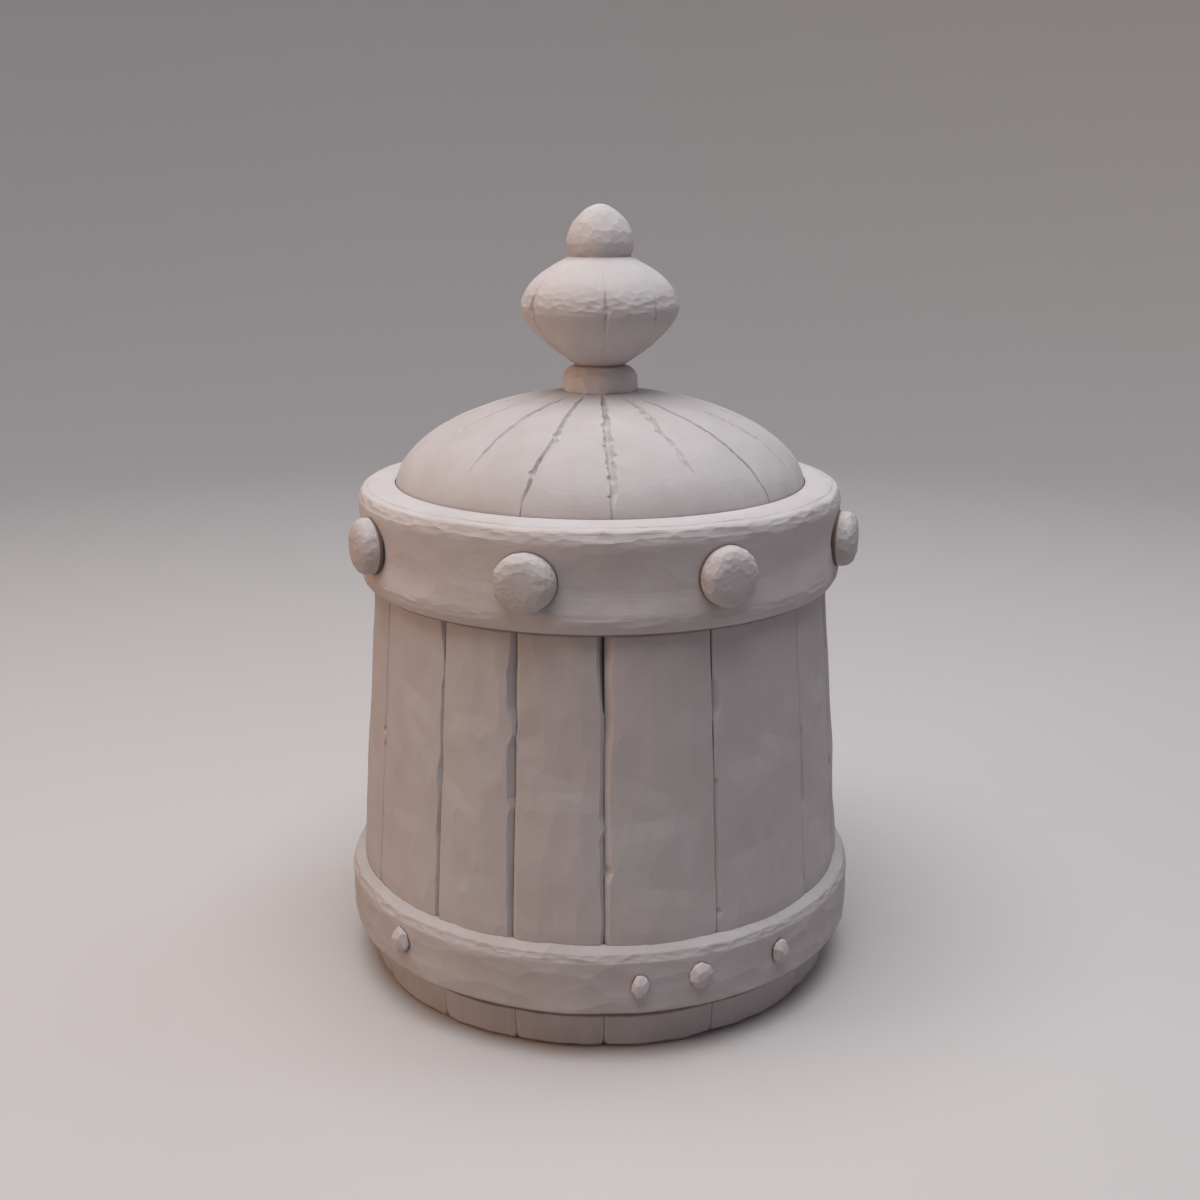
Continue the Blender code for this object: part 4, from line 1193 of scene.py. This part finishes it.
def finialRod():
    s = rodShape
    low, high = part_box("finial_rod")
    radius = high.x
    heights = np.arange(low.z + s["ease"], high.z - s["ease"], 0.25 * s["threadPitch"])[::-1]
    angles = ringAngles(s["columns"])
    turn, height = np.meshgrid(angles, heights, indexing="ij")
    climb = (height / s["threadPitch"] + turn / fullTurn) % 1.0
    cut = s["threadDepth"] * np.abs(2.0 * climb - 1.0) * (height < low.z + s["threadLength"])
    side = polarPoints(radius - cut, turn, height)
    small = radius - s["ease"]
    ends = []
    for z in (high.z, low.z):
        ends.append(np.stack([polarPoints(small, angles, z), polarPoints(0.0, angles, z)], axis=1))
    grid = np.concatenate([ends[0][:, ::-1], side, ends[1]], axis=1)
    dress(ringPiece("threadedRod", grid, False), "finial_rod", ironFinish, sharp=30.0)


washerShape = {"ease": 0.0003, "columns": 96}


def rodWasher():
    low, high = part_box("rod_washer")
    ease, rim = washerShape["ease"], high.x
    outline = [(rim - ease, high.z, 0.0002), (rim, high.z - ease, 0.0003), (rim, low.z + ease, 0.0002),
               (rim - ease, low.z, 0.0006), (rodBore + ease, low.z, 0.0002), (rodBore, low.z + ease, 0.0004),
               (rodBore, high.z - ease, 0.0002), (rodBore + ease, high.z, 0.0006)]
    grid, points = turned(outline, washerShape["columns"])
    points[:, 2] += 0.00004 * drift(points, 0.003, 181)
    dress(ringPiece("forgedWasher", grid), "rod_washer", ironFinish, sharp=25.0)


nutShape = {"ease": 0.0001, "slope": 1.7, "columns": 144, "rows": 15}


def rodNut():
    s = nutShape
    low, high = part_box("rod_nut")
    corner = high.x
    flat = corner * math.cos(math.pi / 6.0)
    middle = np.linspace(low.z + s["ease"], high.z - s["ease"], s["rows"])
    heights = np.concatenate([[low.z], middle, [high.z]])
    turn, height = np.meshgrid(ringAngles(s["columns"]), heights, indexing="ij")
    sixth = (turn - 0.5 * math.pi) % (math.pi / 3.0) - math.pi / 6.0  # corners stand along X
    hexagon = flat / np.cos(sixth)
    fromEnd = np.minimum(height - low.z, high.z - height)
    side = polarPoints(np.minimum(hexagon, flat - s["ease"] + s["slope"] * fromEnd), turn, height)
    hole = polarPoints(rodBore, turn[:, ::4], height[:, ::4])
    grid = np.concatenate([side, hole[:, ::-1]], axis=1)
    dress(ringPiece("forgedNut", grid), "rod_nut", ironFinish, sharp=22.0)


floorBoard()
locatingRing()
finialRod()
rodWasher()
rodNut()
print("inside pieces")


# Studio: round cove, soft lights, camera

studio = {
    "floorRadius": 0.9, "coveRound": 0.7, "wallTop": 2.2, "columns": 96,
    "floorColour": (0.40, 0.365, 0.365), "floorShown": (0.66, 0.63, 0.61),  # for its bounce, as seen
    "world": (0.010, 0.008, 0.014),
}


def cove():
    s = studio
    outline = [(0.0, 0.0, 0.2), (s["floorRadius"], 0.0, 0.1)]
    outline += arcPoints((s["floorRadius"], s["coveRound"]), s["coveRound"], -90, 0, 0.06)
    outline += [(s["floorRadius"] + s["coveRound"], s["wallTop"], 0.2)]
    piece = ringPiece("paleFloor", turned(outline, s["columns"], False)[0], False)
    piece.data.flip_normals()
    piece.data.shade_smooth()
    material, tree, shader, place = newMaterial("paleFloor")
    cloud = noise(tree, place, {"Scale": 5.0, "Detail": 3.0})
    tone = mixColour(tree, cloud, tinted(s["floorShown"], 0.985), s["floorShown"])
    ray = addNode(tree, "LightPath").outputs
    straight = mathNode(tree, "MAXIMUM", ray["Is Camera Ray"], ray["Is Glossy Ray"])
    shown = mathNode(tree, "MAXIMUM", straight, ray["Is Transmission Ray"])
    tree.links.new(mixColour(tree, shown, s["floorColour"], tone), shader.inputs["Base Color"])
    shader.inputs["Roughness"].default_value = 0.9
    piece.data.materials.append(material)


def softLight(name, spot, target, size, power, colour, spread=180.0):
    lamp = bpy.data.lights.new(name, "AREA")
    lamp.shape = "DISK"
    lamp.size = size
    lamp.energy = power
    lamp.color = colour
    lamp.spread = math.radians(spread)
    lampObject = linked(name, lamp)
    lampObject.location = spot
    lampObject.rotation_euler = (Vector(target) - Vector(spot)).to_track_quat("-Z", "Y").to_euler()


cove()
# Place, target, width (m), power (W), colour and, where it is narrowed, spread (degrees)
softLight("topLight", (-0.10, -0.16, 1.25), (0.0, 0.0, 0.10), 1.2, 14.4, (0.945, 0.955, 1.0))
softLight("warmSide", (-1.05, -0.30, 0.40), (0.0, 0.0, 0.10), 0.7, 1.25, (1.0, 0.53, 0.23), 120.0)
softLight("coolHigh", (0.66, 0.30, 1.12), (0.0, 0.0, 0.18), 0.7, 2.1, (0.84, 0.90, 1.0))
softLight("coolSide", (1.10, -0.20, 0.35), (0.0, 0.0, 0.10), 0.7, 0.145, (0.38, 0.52, 1.0), 120.0)

world = bpy.data.worlds.new("softRoom")
world.use_nodes = True
world.node_tree.nodes["Background"].inputs["Color"].default_value = (*studio["world"], 1.0)
bpy.context.scene.world = world

# Camera fitted to the photo's rings: 1450 px focal length on a 1200 px frame
cameraFit = {"distance": 0.4454, "height": 0.2373, "pitch": 0.2691, "lens": 43.5, "sensor": 36.0}
camera = bpy.data.cameras.new("photoCamera")
camera.lens = cameraFit["lens"]
camera.sensor_width = cameraFit["sensor"]
camera.clip_start = 0.01
cameraObject = linked("photoCamera", camera)
cameraObject.location = (0.0, -cameraFit["distance"], cameraFit["height"])
cameraObject.rotation_euler = (0.5 * math.pi - cameraFit["pitch"], 0.0, 0.0)
bpy.context.scene.camera = cameraObject
bpy.context.scene.view_settings.view_transform = "Standard"
print("studio ready")
